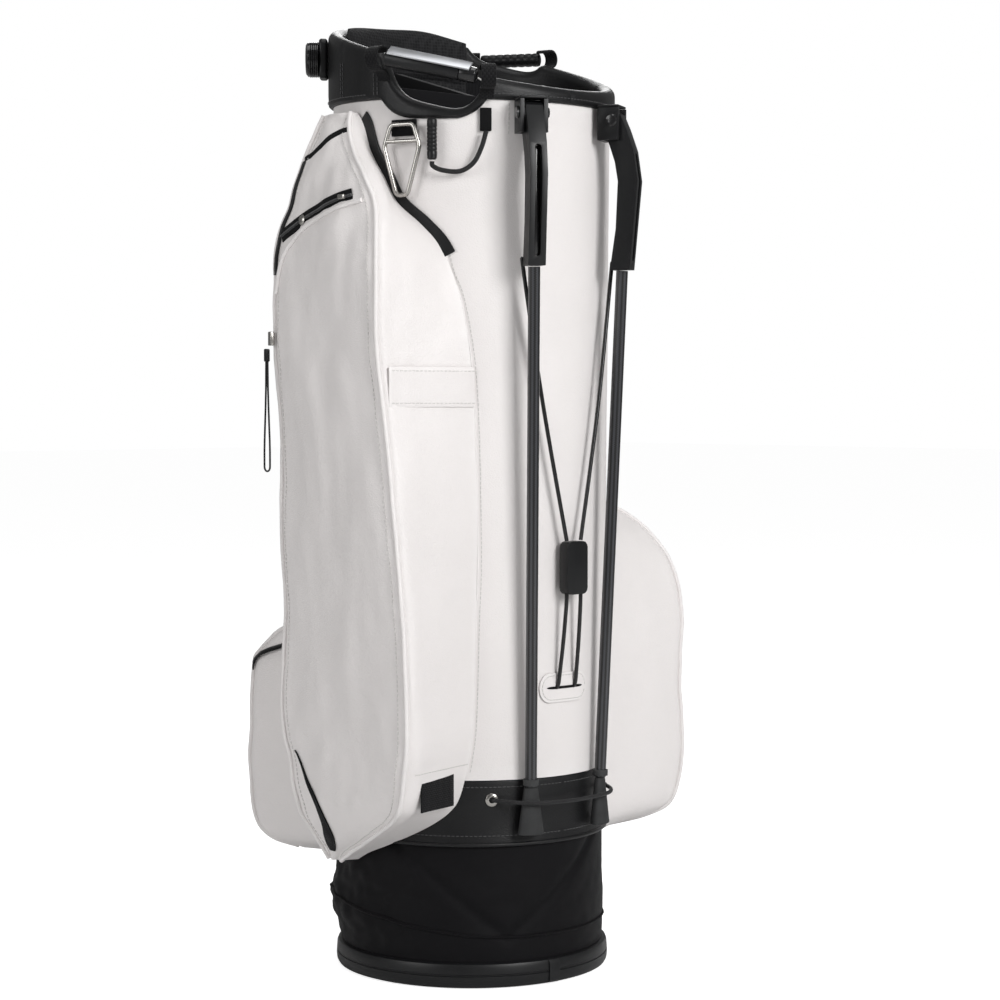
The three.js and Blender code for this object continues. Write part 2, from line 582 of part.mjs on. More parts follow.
function buildPull(word, top, radius = 2.6, length = 92) {
  const low = top.clone();
  low.z -= length;
  add(`${word}_zip_pull`, rodBetween(low, top, radius, radius * 0.8, 8), BLACK_PLASTIC());
}

function buildZips() {
  const nearPoint = new THREE.Vector3(-187.5, 68, 598);
  buildZip('near', nearPoint, new THREE.Vector3(-1, 0.35, 0), new THREE.Vector3(0, 0, 1));
  buildPull('near', new THREE.Vector3(-191.6, 72.4, 590.6), 2.6, 118);
  const farPoint = new THREE.Vector3(209.6, 72, 300);
  buildZip('far', farPoint, new THREE.Vector3(1, 0.35, 0), new THREE.Vector3(0, 0, 1));
  buildPull('far', new THREE.Vector3(213.6, 76.6, 292.6));
  buildZip('ball', new THREE.Vector3(30, 226.8, 262), new THREE.Vector3(0, 1, 0),
    new THREE.Vector3(1, 0, 0));
  buildPull('ball', new THREE.Vector3(30, 229.6, 256), 2.6, 60);
}

buildTube();
buildCollar();
buildHandles();
buildDividers();
buildFrame();
buildBase();
buildLeg('left', -1);
buildLeg('right', 1);
buildActuator();
buildPockets();
buildTrim();
buildTowelRing();
buildSwivels();
buildZips();

export default group;
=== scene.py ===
import json
import math
import bpy
from mathutils import Matrix, Vector, noise


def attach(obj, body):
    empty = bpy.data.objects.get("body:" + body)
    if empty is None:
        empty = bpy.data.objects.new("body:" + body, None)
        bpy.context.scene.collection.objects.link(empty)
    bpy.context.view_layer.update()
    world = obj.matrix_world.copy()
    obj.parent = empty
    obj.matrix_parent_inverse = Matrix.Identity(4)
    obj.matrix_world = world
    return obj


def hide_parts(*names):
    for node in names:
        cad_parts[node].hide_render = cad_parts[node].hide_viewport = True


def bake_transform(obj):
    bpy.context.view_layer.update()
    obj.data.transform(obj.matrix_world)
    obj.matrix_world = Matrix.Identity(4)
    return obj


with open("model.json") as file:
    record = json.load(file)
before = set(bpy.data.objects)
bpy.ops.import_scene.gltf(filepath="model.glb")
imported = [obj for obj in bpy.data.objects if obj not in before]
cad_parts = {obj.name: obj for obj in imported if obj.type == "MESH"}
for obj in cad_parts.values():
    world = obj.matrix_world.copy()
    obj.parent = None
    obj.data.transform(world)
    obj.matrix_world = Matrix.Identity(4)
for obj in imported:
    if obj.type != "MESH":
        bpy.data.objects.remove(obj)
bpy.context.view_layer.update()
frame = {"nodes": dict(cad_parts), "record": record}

# Driving sizes, in metres and degrees. Azimuth 0 is -Y, where the legs are; +X is at 90.
TUBE_LOW_R, TUBE_TOP_R = 0.127, 0.132
HEM_Z, BAND_TOP_Z = 0.131, 0.192
BOOT_LOW_Z, BOOT_HEIGHT = 0.022, 0.112
COLLAR_OUT, COLLAR_IN = 0.137, 0.122
RIM_MID_Z, RIM_RISE = 0.866, 0.0395
SPINE_HUMP_AZ = 161.0
SCOOP_AZ, SCOOP_HALF, SCOOP_DEPTH = -58.0, 22.0, 0.036
FAR_HANDLE_AZ, FAR_HANDLE_Z, HANDLE_R = 122.0, 0.884, 0.148
SWIVEL_AZ = {"left": -132.0, "right": 150.0}
LEG_AZ, LEG_YAW = 20.8, 28.0    # where a leg hangs, and the way that it swings
PIVOT_R, PIVOT_Z = 0.150, 0.8
FOOT_R, FOOT_AZ, FOOT_Z = 0.1375, 19, 0.187
LEG_R = 0.0055
YOKE_Y, YOKE_LOW_Z, WIRE_R = -0.140, 0.3621, 0.0019
SLOT_Z = 0.2752
POCKET_GAP = 0.0022             # pockets stand off the round wall by this much
POCKET_PUFF, POCKET_SLACK = 0.004, 0.005
PULL_LOOP_R, PULL_CORD_R = 0.0042, 0.0009


# ---------------------------------------------------------------- small geometry helpers

def polar(radius, azimuth, z):
    turn = math.radians(azimuth)
    return Vector((radius * math.sin(turn), -radius * math.cos(turn), z))


def blend_step(value, low, high):
    t = min(1.0, max(0.0, (value - low) / (high - low)))
    return t * t * (3 - 2 * t)


def tube_radius(z):
    return TUBE_LOW_R + (TUBE_TOP_R - TUBE_LOW_R) * min(1, max(0, (z - BAND_TOP_Z) / 0.62))


def angle_from(azimuth, centre):
    return abs((azimuth - centre + 180) % 360 - 180)


def scoop(azimuth, centre, half):
    t = angle_from(azimuth, centre) / half
    return 1 - t ** 4 if t < 1 else 0.0


def rim_plane(azimuth):
    return RIM_MID_Z - RIM_RISE * math.cos(math.radians(azimuth))


def collar_high(azimuth):
    far = 0.012 * scoop(azimuth, FAR_HANDLE_AZ, SCOOP_HALF * 0.8)
    return rim_plane(azimuth) - SCOOP_DEPTH * scoop(azimuth, SCOOP_AZ, SCOOP_HALF) - far


def collar_low(azimuth):
    level = 0.8165 - 0.004 * math.cos(math.radians(azimuth))
    return min(level - 0.018 * scoop(azimuth, SCOOP_AZ, SCOOP_HALF), collar_high(azimuth) - 0.009)


def smooth_path(points, steps=6, closed=False):
    """Points on the Catmull-Rom curve through the given ones."""
    points = [Vector(p) for p in points]
    count = len(points)
    out = []
    for i in range(count if closed else count - 1):
        if closed:
            a, b, c, d = (points[(i + k) % count] for k in (-1, 0, 1, 2))
        else:
            a, b = points[max(i - 1, 0)], points[i]
            c, d = points[i + 1], points[min(i + 2, count - 1)]
        for k in range(steps):
            t = k / steps
            out.append(0.5 * (2 * b + (c - a) * t + (2 * a - 5 * b + 4 * c - d) * t * t
                              + (3 * b - 3 * c + d - a) * t ** 3))
    if not closed:
        out.append(points[-1])
    return out


def run_length(points):
    return sum((Vector(b) - Vector(a)).length for a, b in zip(points, points[1:]))


def level_out(point):
    """The level direction from the bag's axis to a point."""
    return Vector((point.x, point.y, 0)).normalized()


# ---------------------------------------------------------------- modelling by hand

def start_fresh():
    if bpy.context.object and bpy.context.object.mode != "OBJECT":
        bpy.ops.object.mode_set(mode="OBJECT")
    bpy.ops.object.select_all(action="DESELECT")


def pick(piece):
    start_fresh()
    piece.select_set(True)
    bpy.context.view_layer.objects.active = piece


def in_edit(piece, action):
    pick(piece)
    bpy.ops.object.mode_set(mode="EDIT")
    bpy.ops.mesh.select_all(action="SELECT")
    action()
    bpy.ops.object.mode_set(mode="OBJECT")


def wrapped_grid(name, around, up, place, closed=False, capped=False, cloth=(1, 1)):
    """A grid primitive wrapped into its form by place(u, v); its UV map is in metres of cloth."""
    start_fresh()
    bpy.ops.mesh.primitive_grid_add(x_subdivisions=around, y_subdivisions=up, size=1.0)
    piece = bpy.context.object
    piece.name = piece.data.name = name
    for vertex in piece.data.vertices:
        vertex.co = place(vertex.co.x + 0.5, vertex.co.y + 0.5)
    for corner in piece.data.uv_layers.active.data:
        corner.uv = (corner.uv[0] * cloth[0], corner.uv[1] * cloth[1])

    def close():
        if closed:
            bpy.ops.mesh.remove_doubles(threshold=1e-5)
        if capped:
            bpy.ops.mesh.fill_holes(sides=0)
            bpy.ops.mesh.select_all(action="SELECT")
        bpy.ops.mesh.normals_make_consistent(inside=False)
    in_edit(piece, close)
    return piece


def turned(name, profile, around=96, centre=(0, 0, 0), axis=None, cloth=(1, 1)):
    """A closed section of (radius, height) points spun round the axis through centre."""
    steps = len(profile)
    spin = Matrix.Identity(3)
    if axis is not None:
        spin = Vector((0, 0, 1)).rotation_difference(Vector(axis)).to_matrix()

    def place(u, v):
        radius, height = profile[round(v * (steps - 1))]
        turn = 2 * math.pi * u
        return spin @ Vector((radius * math.cos(turn), radius * math.sin(turn), height)) + Vector(centre)
    return wrapped_grid(name, around, steps - 1, place, closed=True, cloth=cloth)


def apply_modifier(piece, kind, **settings):
    pick(piece)
    modifier = piece.modifiers.new(kind.title(), kind)
    for key, value in settings.items():
        setattr(modifier, key, value)
    bpy.ops.object.modifier_apply(modifier=modifier.name)


def thicken(piece, thickness, offset=-1.0):
    apply_modifier(piece, "SOLIDIFY", thickness=thickness, offset=offset)


def soften(piece, width, segments=3, angle=35):
    apply_modifier(piece, "BEVEL", width=width, segments=segments, limit_method="ANGLE",
                   angle_limit=math.radians(angle), harden_normals=False)


def relax(piece, rounds, factor=0.5):
    apply_modifier(piece, "SMOOTH", iterations=rounds, factor=factor)


def refined_copy(node, name, bevel, segments=3, angle=30, flat=4):
    """A new piece from a CAD node's own form, its edges rolled over."""
    source = frame["nodes"][node]
    start_fresh()
    piece = bpy.data.objects.new(name, source.data.copy())
    bpy.context.collection.objects.link(piece)
    piece.data.name = name
    piece.data.materials.clear()

    def tidy():
        bpy.ops.mesh.remove_doubles(threshold=1e-6)
        bpy.ops.mesh.dissolve_limited(angle_limit=math.radians(flat))
        bpy.ops.mesh.normals_make_consistent(inside=False)
    in_edit(piece, tidy)
    soften(piece, bevel, segments, angle)
    return piece


def rounded_block(name, size, centre, turn=None, bevel=0.002, segments=4):
    """A block with rolled edges; turn is a rotation matrix about its centre."""
    start_fresh()
    bpy.ops.mesh.primitive_cube_add(size=1.0)
    piece = bpy.context.object
    piece.name = piece.data.name = name
    turn = turn or Matrix.Identity(3)
    for vertex in piece.data.vertices:
        local = Vector((vertex.co.x * size[0], vertex.co.y * size[1], vertex.co.z * size[2]))
        vertex.co = turn @ local + Vector(centre)
    soften(piece, bevel, segments)
    return piece


def path_curve(name, points, radius, sides=3, closed=False):
    curve = bpy.data.curves.new(name, "CURVE")
    curve.dimensions = "3D"
    curve.bevel_depth = radius
    curve.bevel_resolution = sides
    curve.use_fill_caps = not closed
    spline = curve.splines.new("POLY")
    spline.points.add(len(points) - 1)
    for point, place in zip(spline.points, points):
        point.co = (*place, 1)
    spline.use_cyclic_u = closed
    piece = bpy.data.objects.new(name, curve)
    bpy.context.collection.objects.link(piece)
    return piece


def round_bar(name, points, radius, sides=3, closed=False):
    """A solid round bar or piping along the points, as a mesh."""
    piece = path_curve(name, points, radius, sides, closed)
    pick(piece)
    bpy.ops.object.convert(target="MESH")
    return bpy.context.object


def joined(name, pieces):
    start_fresh()
    for piece in pieces:
        piece.select_set(True)
    bpy.context.view_layer.objects.active = pieces[0]
    if len(pieces) > 1:
        bpy.ops.object.join()
    piece = bpy.context.object
    piece.name = piece.data.name = name
    return piece


def stitch_row(name, points, pitch=0.0042, length=0.0028, radius=0.0004, closed=False):
    """One stitch, repeated along the line and bent to it."""
    line = path_curve(name + "_line", points, 0, closed=closed)
    start_fresh()
    bpy.ops.mesh.primitive_cylinder_add(vertices=6, radius=radius, depth=length,
                                        rotation=(0, math.pi / 2, 0))
    bpy.ops.object.transform_apply(location=False, rotation=True, scale=False)
    piece = bpy.context.object
    piece.name = piece.data.name = name
    for vertex in piece.data.vertices:
        vertex.co.x += length / 2
    apply_modifier(piece, "ARRAY", count=max(2, int(run_length(points) / pitch)), use_relative_offset=False,
                   use_constant_offset=True, constant_offset_displace=(pitch, 0, 0))
    apply_modifier(piece, "CURVE", object=line, deform_axis="POS_X")
    bpy.data.objects.remove(line)
    return piece


# ---------------------------------------------------------------- node groups and finishes

def new_group(name, inputs, outputs):
    tree = bpy.data.node_groups.new(name, "ShaderNodeTree")
    for label, kind, value in inputs:
        socket = tree.interface.new_socket(label, in_out="INPUT", socket_type=kind)
        if value is not None:
            socket.default_value = value
    for label, kind in outputs:
        tree.interface.new_socket(label, in_out="OUTPUT", socket_type=kind)
    return tree, tree.nodes.new("NodeGroupInput"), tree.nodes.new("NodeGroupOutput")


def add_node(tree, kind, links=(), **settings):
    """A node with its settings; links are (input name or number, source socket)."""
    made = tree.nodes.new("ShaderNode" + kind)
    for key, value in settings.items():
        if hasattr(made, key):
            setattr(made, key, value)
        else:
            made.inputs[key.replace("_", " ")].default_value = value
    for target, source in links:
        tree.links.new(source, made.inputs[target])
    return made


def math_node(tree, operation, first, second=None):
    made = tree.nodes.new("ShaderNodeMath")
    made.operation = operation
    for socket, value in zip(made.inputs, (first, second)):
        if value is None:
            continue
        if isinstance(value, (int, float)):
            socket.default_value = value
        else:
            tree.links.new(value, socket)
    return made.outputs[0]


def grain_group():
    """Pebbled skin: fine pebbles, soft creases and a slow drift of tone."""
    tree, given, out = new_group(
        "leather grain",
        [("pebble size", "NodeSocketFloat", 0.0012), ("crease size", "NodeSocketFloat", 0.05)],
        [("height", "NodeSocketFloat"), ("crease", "NodeSocketFloat"), ("tone", "NodeSocketFloat")])
    place = add_node(tree, "TexCoord").outputs["Object"]
    per_pebble = math_node(tree, "DIVIDE", 1.0, given.outputs["pebble size"])
    per_crease = math_node(tree, "DIVIDE", 1.0, given.outputs["crease size"])
    pebble = add_node(tree, "TexVoronoi", [("Vector", place), ("Scale", per_pebble)],
                      feature="SMOOTH_F1")
    crease = add_node(tree, "TexNoise", [("Vector", place), ("Scale", per_crease)], Detail=4.0,
                      Roughness=0.55, Distortion=0.6)
    tone = add_node(tree, "TexNoise", [("Vector", place)], Scale=9.0, Detail=2.0)
    tree.links.new(pebble.outputs["Distance"], out.inputs["height"])
    tree.links.new(crease.outputs["Fac"], out.inputs["crease"])
    tree.links.new(tone.outputs["Fac"], out.inputs["tone"])
    return tree


def weave_group():
    """Plain weave on the cloth's own UV map, which is in metres."""
    tree, given, out = new_group("plain weave", [("thread", "NodeSocketFloat", 0.0012)],
                                 [("height", "NodeSocketFloat"), ("mask", "NodeSocketFloat")])
    cloth = add_node(tree, "UVMap").outputs["UV"]
    split = add_node(tree, "SeparateXYZ", [("Vector", cloth)])
    turn = math_node(tree, "DIVIDE", math.pi, given.outputs["thread"])
    warp = math_node(tree, "SINE", math_node(tree, "MULTIPLY", split.outputs["X"], turn))
    weft = math_node(tree, "SINE", math_node(tree, "MULTIPLY", split.outputs["Y"], turn))
    over = math_node(tree, "MULTIPLY", warp, weft)
    height = math_node(tree, "ABSOLUTE", over)
    tree.links.new(height, out.inputs["height"])
    tree.links.new(math_node(tree, "GREATER_THAN", over, 0.0), out.inputs["mask"])
    return tree


def wear_group():
    """Rubbed edges: where the surface is sharply convex, broken up by noise."""
    tree, given, out = new_group("edge wear", [("amount", "NodeSocketFloat", 0.5)],
                                 [("mask", "NodeSocketFloat")])
    point = add_node(tree, "NewGeometry").outputs["Pointiness"]
    sharp = add_node(tree, "MapRange", [("Value", point)])
    sharp.inputs["From Min"].default_value = 0.52
    sharp.inputs["From Max"].default_value = 0.6
    place = add_node(tree, "TexCoord").outputs["Object"]
    patch = add_node(tree, "TexNoise", [("Vector", place)], Scale=120.0, Detail=3.0)
    broken = math_node(tree, "MULTIPLY", sharp.outputs[0], patch.outputs["Fac"])
    tree.links.new(math_node(tree, "MULTIPLY", broken, given.outputs["amount"]), out.inputs["mask"])
    return tree


def dust_group():
    """Fine dust that settles on what faces up."""
    tree, given, out = new_group("settled dust", [("amount", "NodeSocketFloat", 0.1)],
                                 [("mask", "NodeSocketFloat")])
    facing = add_node(tree, "SeparateXYZ", [("Vector", add_node(tree, "NewGeometry").outputs["Normal"])])
    upward = math_node(tree, "MAXIMUM", facing.outputs["Z"], 0.0)
    place = add_node(tree, "TexCoord").outputs["Object"]
    speck = add_node(tree, "TexNoise", [("Vector", place)], Scale=300.0, Detail=4.0)
    tree.links.new(math_node(tree, "MULTIPLY", math_node(tree, "MULTIPLY", upward, speck.outputs["Fac"]),
                             given.outputs["amount"]), out.inputs["mask"])
    return tree


GRAIN, WEAVE, WEAR, DUST = grain_group(), weave_group(), wear_group(), dust_group()


def use_group(tree, group, **values):
    made = tree.nodes.new("ShaderNodeGroup")
    made.node_tree = group
    for key, value in values.items():
        made.inputs[key.replace("_", " ")].default_value = value
    return made


def new_finish(name, **sockets):
    material = bpy.data.materials.new(name)
    material.use_nodes = True
    shader = material.node_tree.nodes["Principled BSDF"]
    for key, value in sockets.items():
        shader.inputs[key.replace("_", " ")].default_value = value
    return material, material.node_tree, shader


def mix_colours(tree, mask, first, second):
    made = tree.nodes.new("ShaderNodeMix")
    made.data_type = "RGBA"
    tree.links.new(mask, made.inputs[0])
    for socket, value in ((made.inputs[6], first), (made.inputs[7], second)):
        if isinstance(value, tuple):
            socket.default_value = (*value, 1)
        else:
            tree.links.new(value, socket)
    return made.outputs[2]


def bump(tree, shader, height, distance, strength=1.0, after=None):
    made = tree.nodes.new("ShaderNodeBump")
    made.inputs["Distance"].default_value = distance
    made.inputs["Strength"].default_value = strength
    tree.links.new(height, made.inputs["Height"])
    if after is not None:
        tree.links.new(after, made.inputs["Normal"])
    tree.links.new(made.outputs["Normal"], shader.inputs["Normal"])
    return made.outputs["Normal"]


def spread(tree, value, low, high):
    made = tree.nodes.new("ShaderNodeMapRange")
    made.inputs["To Min"].default_value = low
    made.inputs["To Max"].default_value = high
    tree.links.new(value, made.inputs["Value"])
    return made.outputs[0]


def leather(name, colour, shade, rough, pebble, crease_depth, wear_colour, coat=0.0, shine=0.5,
            dust=0.05):
    """Coated leather: pebbles and creases in its bump, tone drift and rubbed edges in its colour."""
    material, tree, shader = new_finish(name, Coat_Weight=coat, Coat_Roughness=0.35,
                                        Specular_IOR_Level=shine)
    grain = use_group(tree, GRAIN, pebble_size=pebble, crease_size=0.045)
    skin = mix_colours(tree, spread(tree, grain.outputs["tone"], -0.4, 1.3), colour, shade)
    wear = use_group(tree, WEAR, amount=0.35)
    dust = use_group(tree, DUST, amount=dust)
    worn = mix_colours(tree, wear.outputs["mask"], skin, wear_colour)
    tree.links.new(mix_colours(tree, dust.outputs["mask"], worn, (0.5, 0.48, 0.45)),
                   shader.inputs["Base Color"])
    tree.links.new(spread(tree, grain.outputs["crease"], rough - 0.07, rough + 0.09),
                   shader.inputs["Roughness"])
    fine = bump(tree, shader, grain.outputs["height"], 0.0003, 0.7)
    bump(tree, shader, grain.outputs["crease"], crease_depth, 0.7, after=fine)
    return material


def cloth(name, colour, thread_colour, rough, thread, depth, sheen=0.3):
    """Woven cloth on the piece's own UV map, with a little nap."""
    material, tree, shader = new_finish(name, Sheen_Weight=sheen, Sheen_Roughness=0.45,
                                        Specular_IOR_Level=0.1)
    weave = use_group(tree, WEAVE, thread=thread)
    grain = use_group(tree, GRAIN, pebble_size=0.003, crease_size=0.06)
    woven = mix_colours(tree, weave.outputs["mask"], colour, thread_colour)
    tree.links.new(mix_colours(tree, spread(tree, grain.outputs["tone"], 0.0, 0.5), woven, colour),
                   shader.inputs["Base Color"])
    tree.links.new(spread(tree, weave.outputs["height"], rough, rough - 0.12), shader.inputs["Roughness"])
    first = bump(tree, shader, weave.outputs["height"], depth, 0.7)
    bump(tree, shader, grain.outputs["crease"], 0.0012, 0.35, after=first)
    return material


def spacer_mesh():
    """Open spacer mesh over foam: round holes between darker threads."""
    material, tree, shader = new_finish("spacer mesh", Sheen_Weight=0.06, Specular_IOR_Level=0.2)
    place = add_node(tree, "TexCoord").outputs["Object"]
    holes = add_node(tree, "TexVoronoi", [("Vector", place)], Scale=330.0, feature="F1",
                     Randomness=0.25)
    thread = spread(tree, holes.outputs["Distance"], 0.0, 1.0)
    tree.links.new(mix_colours(tree, thread, (0.003, 0.003, 0.0035), (0.018, 0.018, 0.0195)),
                   shader.inputs["Base Color"])
    tree.links.new(spread(tree, thread, 0.9, 0.6), shader.inputs["Roughness"])
    bump(tree, shader, thread, 0.0009, 0.8)
    return material


def braided_cord():
    """A braided sheath: two crossing spirals of thread."""
    material, tree, shader = new_finish("braided cord", Sheen_Weight=0.06, Specular_IOR_Level=0.3)
    place = add_node(tree, "TexCoord").outputs["Object"]
    spirals = []
    for lean in (1, -1):
        mapped = add_node(tree, "Mapping", [("Vector", place)])
        mapped.inputs["Rotation"].default_value = (0, math.radians(38 * lean), math.radians(38 * lean))
        spirals.append(add_node(tree, "TexWave", [("Vector", mapped.outputs[0])], Scale=260.0,
                                bands_direction="Z", Distortion=1.0))
    over = math_node(tree, "MAXIMUM", spirals[0].outputs["Fac"], spirals[1].outputs["Fac"])
    tree.links.new(mix_colours(tree, over, (0.004, 0.004, 0.0045), (0.018, 0.018, 0.019)),
                   shader.inputs["Base Color"])
    tree.links.new(spread(tree, over, 0.85, 0.6), shader.inputs["Roughness"])
    bump(tree, shader, over, 0.0004, 0.8)
    return material


def moulded_plastic(name, colour, rough, speck=0.00008, wear=0.6, coat=0.0):
    """Injection-moulded nylon: spark-eroded speckle and lighter rubbed edges."""
    material, tree, shader = new_finish(name, Coat_Weight=coat, Coat_Roughness=0.12,
                                        Specular_IOR_Level=0.3)
    place = add_node(tree, "TexCoord").outputs["Object"]
    fine = add_node(tree, "TexNoise", [("Vector", place)], Scale=1600.0, Detail=2.0)
    cloud = add_node(tree, "TexNoise", [("Vector", place)], Scale=35.0, Detail=3.0)
    rubbed = use_group(tree, WEAR, amount=wear)
    lighter = tuple(min(1.0, c * 2.4 + 0.01) for c in colour)
    tree.links.new(mix_colours(tree, rubbed.outputs["mask"], colour, lighter), shader.inputs["Base Color"])
    tree.links.new(spread(tree, cloud.outputs["Fac"], rough - 0.1, rough + 0.1),
                   shader.inputs["Roughness"])
    bump(tree, shader, fine.outputs["Fac"], speck, 0.6)
    return material


def carbon_twill():
    """Braided carbon under clear coat: a two-by-two twill on the tube's own UV map."""
    material, tree, shader = new_finish("carbon twill", Coat_Weight=0.45, Coat_Roughness=0.08,
                                        Specular_IOR_Level=0.3, Metallic=0.0)
    tube = add_node(tree, "UVMap").outputs["UV"]
    split = add_node(tree, "SeparateXYZ", [("Vector", tube)])
    tow = 0.0021
    lines = []
    for lean in (1.0, -1.0):
        across = math_node(tree, "ADD", split.outputs["X"], math_node(tree, "MULTIPLY",
                                                                     split.outputs["Y"], lean))
        lines.append(math_node(tree, "FLOOR", math_node(tree, "DIVIDE", across, tow)))
    cell = math_node(tree, "FLOORED_MODULO", math_node(tree, "ADD", lines[0], lines[1]), 4.0)
    over = math_node(tree, "GREATER_THAN", cell, 1.5)
    tree.links.new(mix_colours(tree, over, (0.003, 0.003, 0.0034), (0.05, 0.051, 0.056)),
                   shader.inputs["Base Color"])
    tree.links.new(spread(tree, over, 0.42, 0.26), shader.inputs["Roughness"])
    bump(tree, shader, over, 0.00012, 0.5)
    return material


def metal(name, colour, rough, brushed=(1.0, 1.0, 1.0), depth=0.00004):
    """Plated or brushed metal: fine drawn lines and a cloudy roughness."""
    material, tree, shader = new_finish(name, Metallic=1.0)
    place = add_node(tree, "TexCoord").outputs["Object"]
    mapped = add_node(tree, "Mapping", [("Vector", place)])
    mapped.inputs["Scale"].default_value = brushed
    lines = add_node(tree, "TexNoise", [("Vector", mapped.outputs[0])], Scale=420.0, Detail=4.0)
    cloud = add_node(tree, "TexNoise", [("Vector", place)], Scale=60.0, Detail=3.0)
    darker = tuple(c * 0.8 for c in colour)
    tree.links.new(mix_colours(tree, cloud.outputs["Fac"], darker, colour), shader.inputs["Base Color"])
    tree.links.new(spread(tree, cloud.outputs["Fac"], rough - 0.08, rough + 0.1),
                   shader.inputs["Roughness"])
    bump(tree, shader, lines.outputs["Fac"], depth, 0.6)
    return material


def sewing_thread(name, dark, light, rough):
    """Twisted sewing thread."""
    material, tree, shader = new_finish(name, Sheen_Weight=0.4, Roughness=rough)
    place = add_node(tree, "TexCoord").outputs["Object"]
    twist = add_node(tree, "TexNoise", [("Vector", place)], Scale=900.0, Detail=2.0)
    tree.links.new(mix_colours(tree, twist.outputs["Fac"], dark, light), shader.inputs["Base Color"])
    bump(tree, shader, twist.outputs["Fac"], 0.0001, 0.5)
    return material


FINISHES = {
    "white_leather": leather("white leather", (0.775, 0.744, 0.734), (0.735, 0.704, 0.694), 0.46,
                             0.0011, 0.0012, (0.9, 0.9, 0.89)),
    "black_leather": leather("black leather", (0.005, 0.0051, 0.0056), (0.0075, 0.0076, 0.0082), 0.4,
                             0.0010, 0.0008, (0.03, 0.03, 0.032), coat=0.03, shine=0.28, dust=0.0),
    "black_nylon": cloth("boot nylon", (0.0035, 0.0033, 0.004), (0.006, 0.0057, 0.0067), 0.62, 0.0007,
                         0.00012, sheen=0.015),
    "lining_cloth": cloth("brushed lining", (0.008, 0.008, 0.009), (0.013, 0.013, 0.0145), 0.88, 0.0016,
                          0.0002, sheen=0.15),
    "mesh_padding": spacer_mesh(),
    "webbing": cloth("ribbed webbing", (0.005, 0.005, 0.0055), (0.014, 0.014, 0.015), 0.75, 0.0019,
                     0.0004, sheen=0.08),
    "cord_cover": braided_cord(),
    "moulded_black": moulded_plastic("moulded black", (0.0055, 0.0057, 0.0063), 0.38),
    "gloss_black": moulded_plastic("gloss black", (0.005, 0.005, 0.0055), 0.2, speck=0.00002, coat=0.5),
    "carbon_tube": carbon_twill(),
    "foot_rubber": moulded_plastic("foot rubber", (0.022, 0.0225, 0.023), 0.75, speck=0.0002, wear=0.9),
    "brushed_metal": metal("brushed metal", (0.5, 0.51, 0.53), 0.34, brushed=(0.15, 0.15, 3.0)),
    "satin_nickel": metal("satin nickel", (0.47, 0.455, 0.43), 0.26),
    "coated_wire": moulded_plastic("coated wire", (0.006, 0.006, 0.0065), 0.3, speck=0.00003, coat=0.3),
    "frame_rod": metal("bare aluminium", (0.58, 0.58, 0.6), 0.4, brushed=(1.0, 1.0, 0.1)),
}
ZIP_TAPE = cloth("zip tape", (0.004, 0.004, 0.0045), (0.009, 0.009, 0.0095), 0.7, 0.0014, 0.0003,
                 sheen=0.05)
WHITE_THREAD = sewing_thread("white thread", (0.5, 0.49, 0.47), (0.68, 0.67, 0.65), 0.7)
BLACK_THREAD = sewing_thread("black thread", (0.012, 0.012, 0.013), (0.04, 0.04, 0.042), 0.6)


def dress(piece, body, slot, replaces=(), material=None, angle=40):
    """Finish (the given material, else the slot's), smooth shading, the body that it rides on and the nodes
    that it replaces.
    """
    piece.data.materials.clear()
    piece.data.materials.append(material or FINISHES[slot])
    if piece.type == "MESH":
        pick(piece)
        bpy.ops.object.shade_smooth_by_angle(angle=math.radians(angle))
    if body:
        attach(piece, body)
    if replaces:
        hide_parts(*replaces)
    return piece


def rolled(node, name, body, slot, bevel, segments=3, angle=30):
    """A node's own form with its edges rolled over, finished and standing in for it."""
    return dress(refined_copy(node, name, bevel, segments, angle), body, slot, [node])


def stitches(name, lines, slot, thread_finish=WHITE_THREAD, **sizes):
    """Rows of stitches along the lines, as one piece on the bag."""
    rows = [stitch_row(f"{name}_{i}", line, **sizes) for i, line in enumerate(lines)]
    dress(joined(name, rows), "bag", slot, material=thread_finish)


# ---------------------------------------------------------------- camera, light and floor

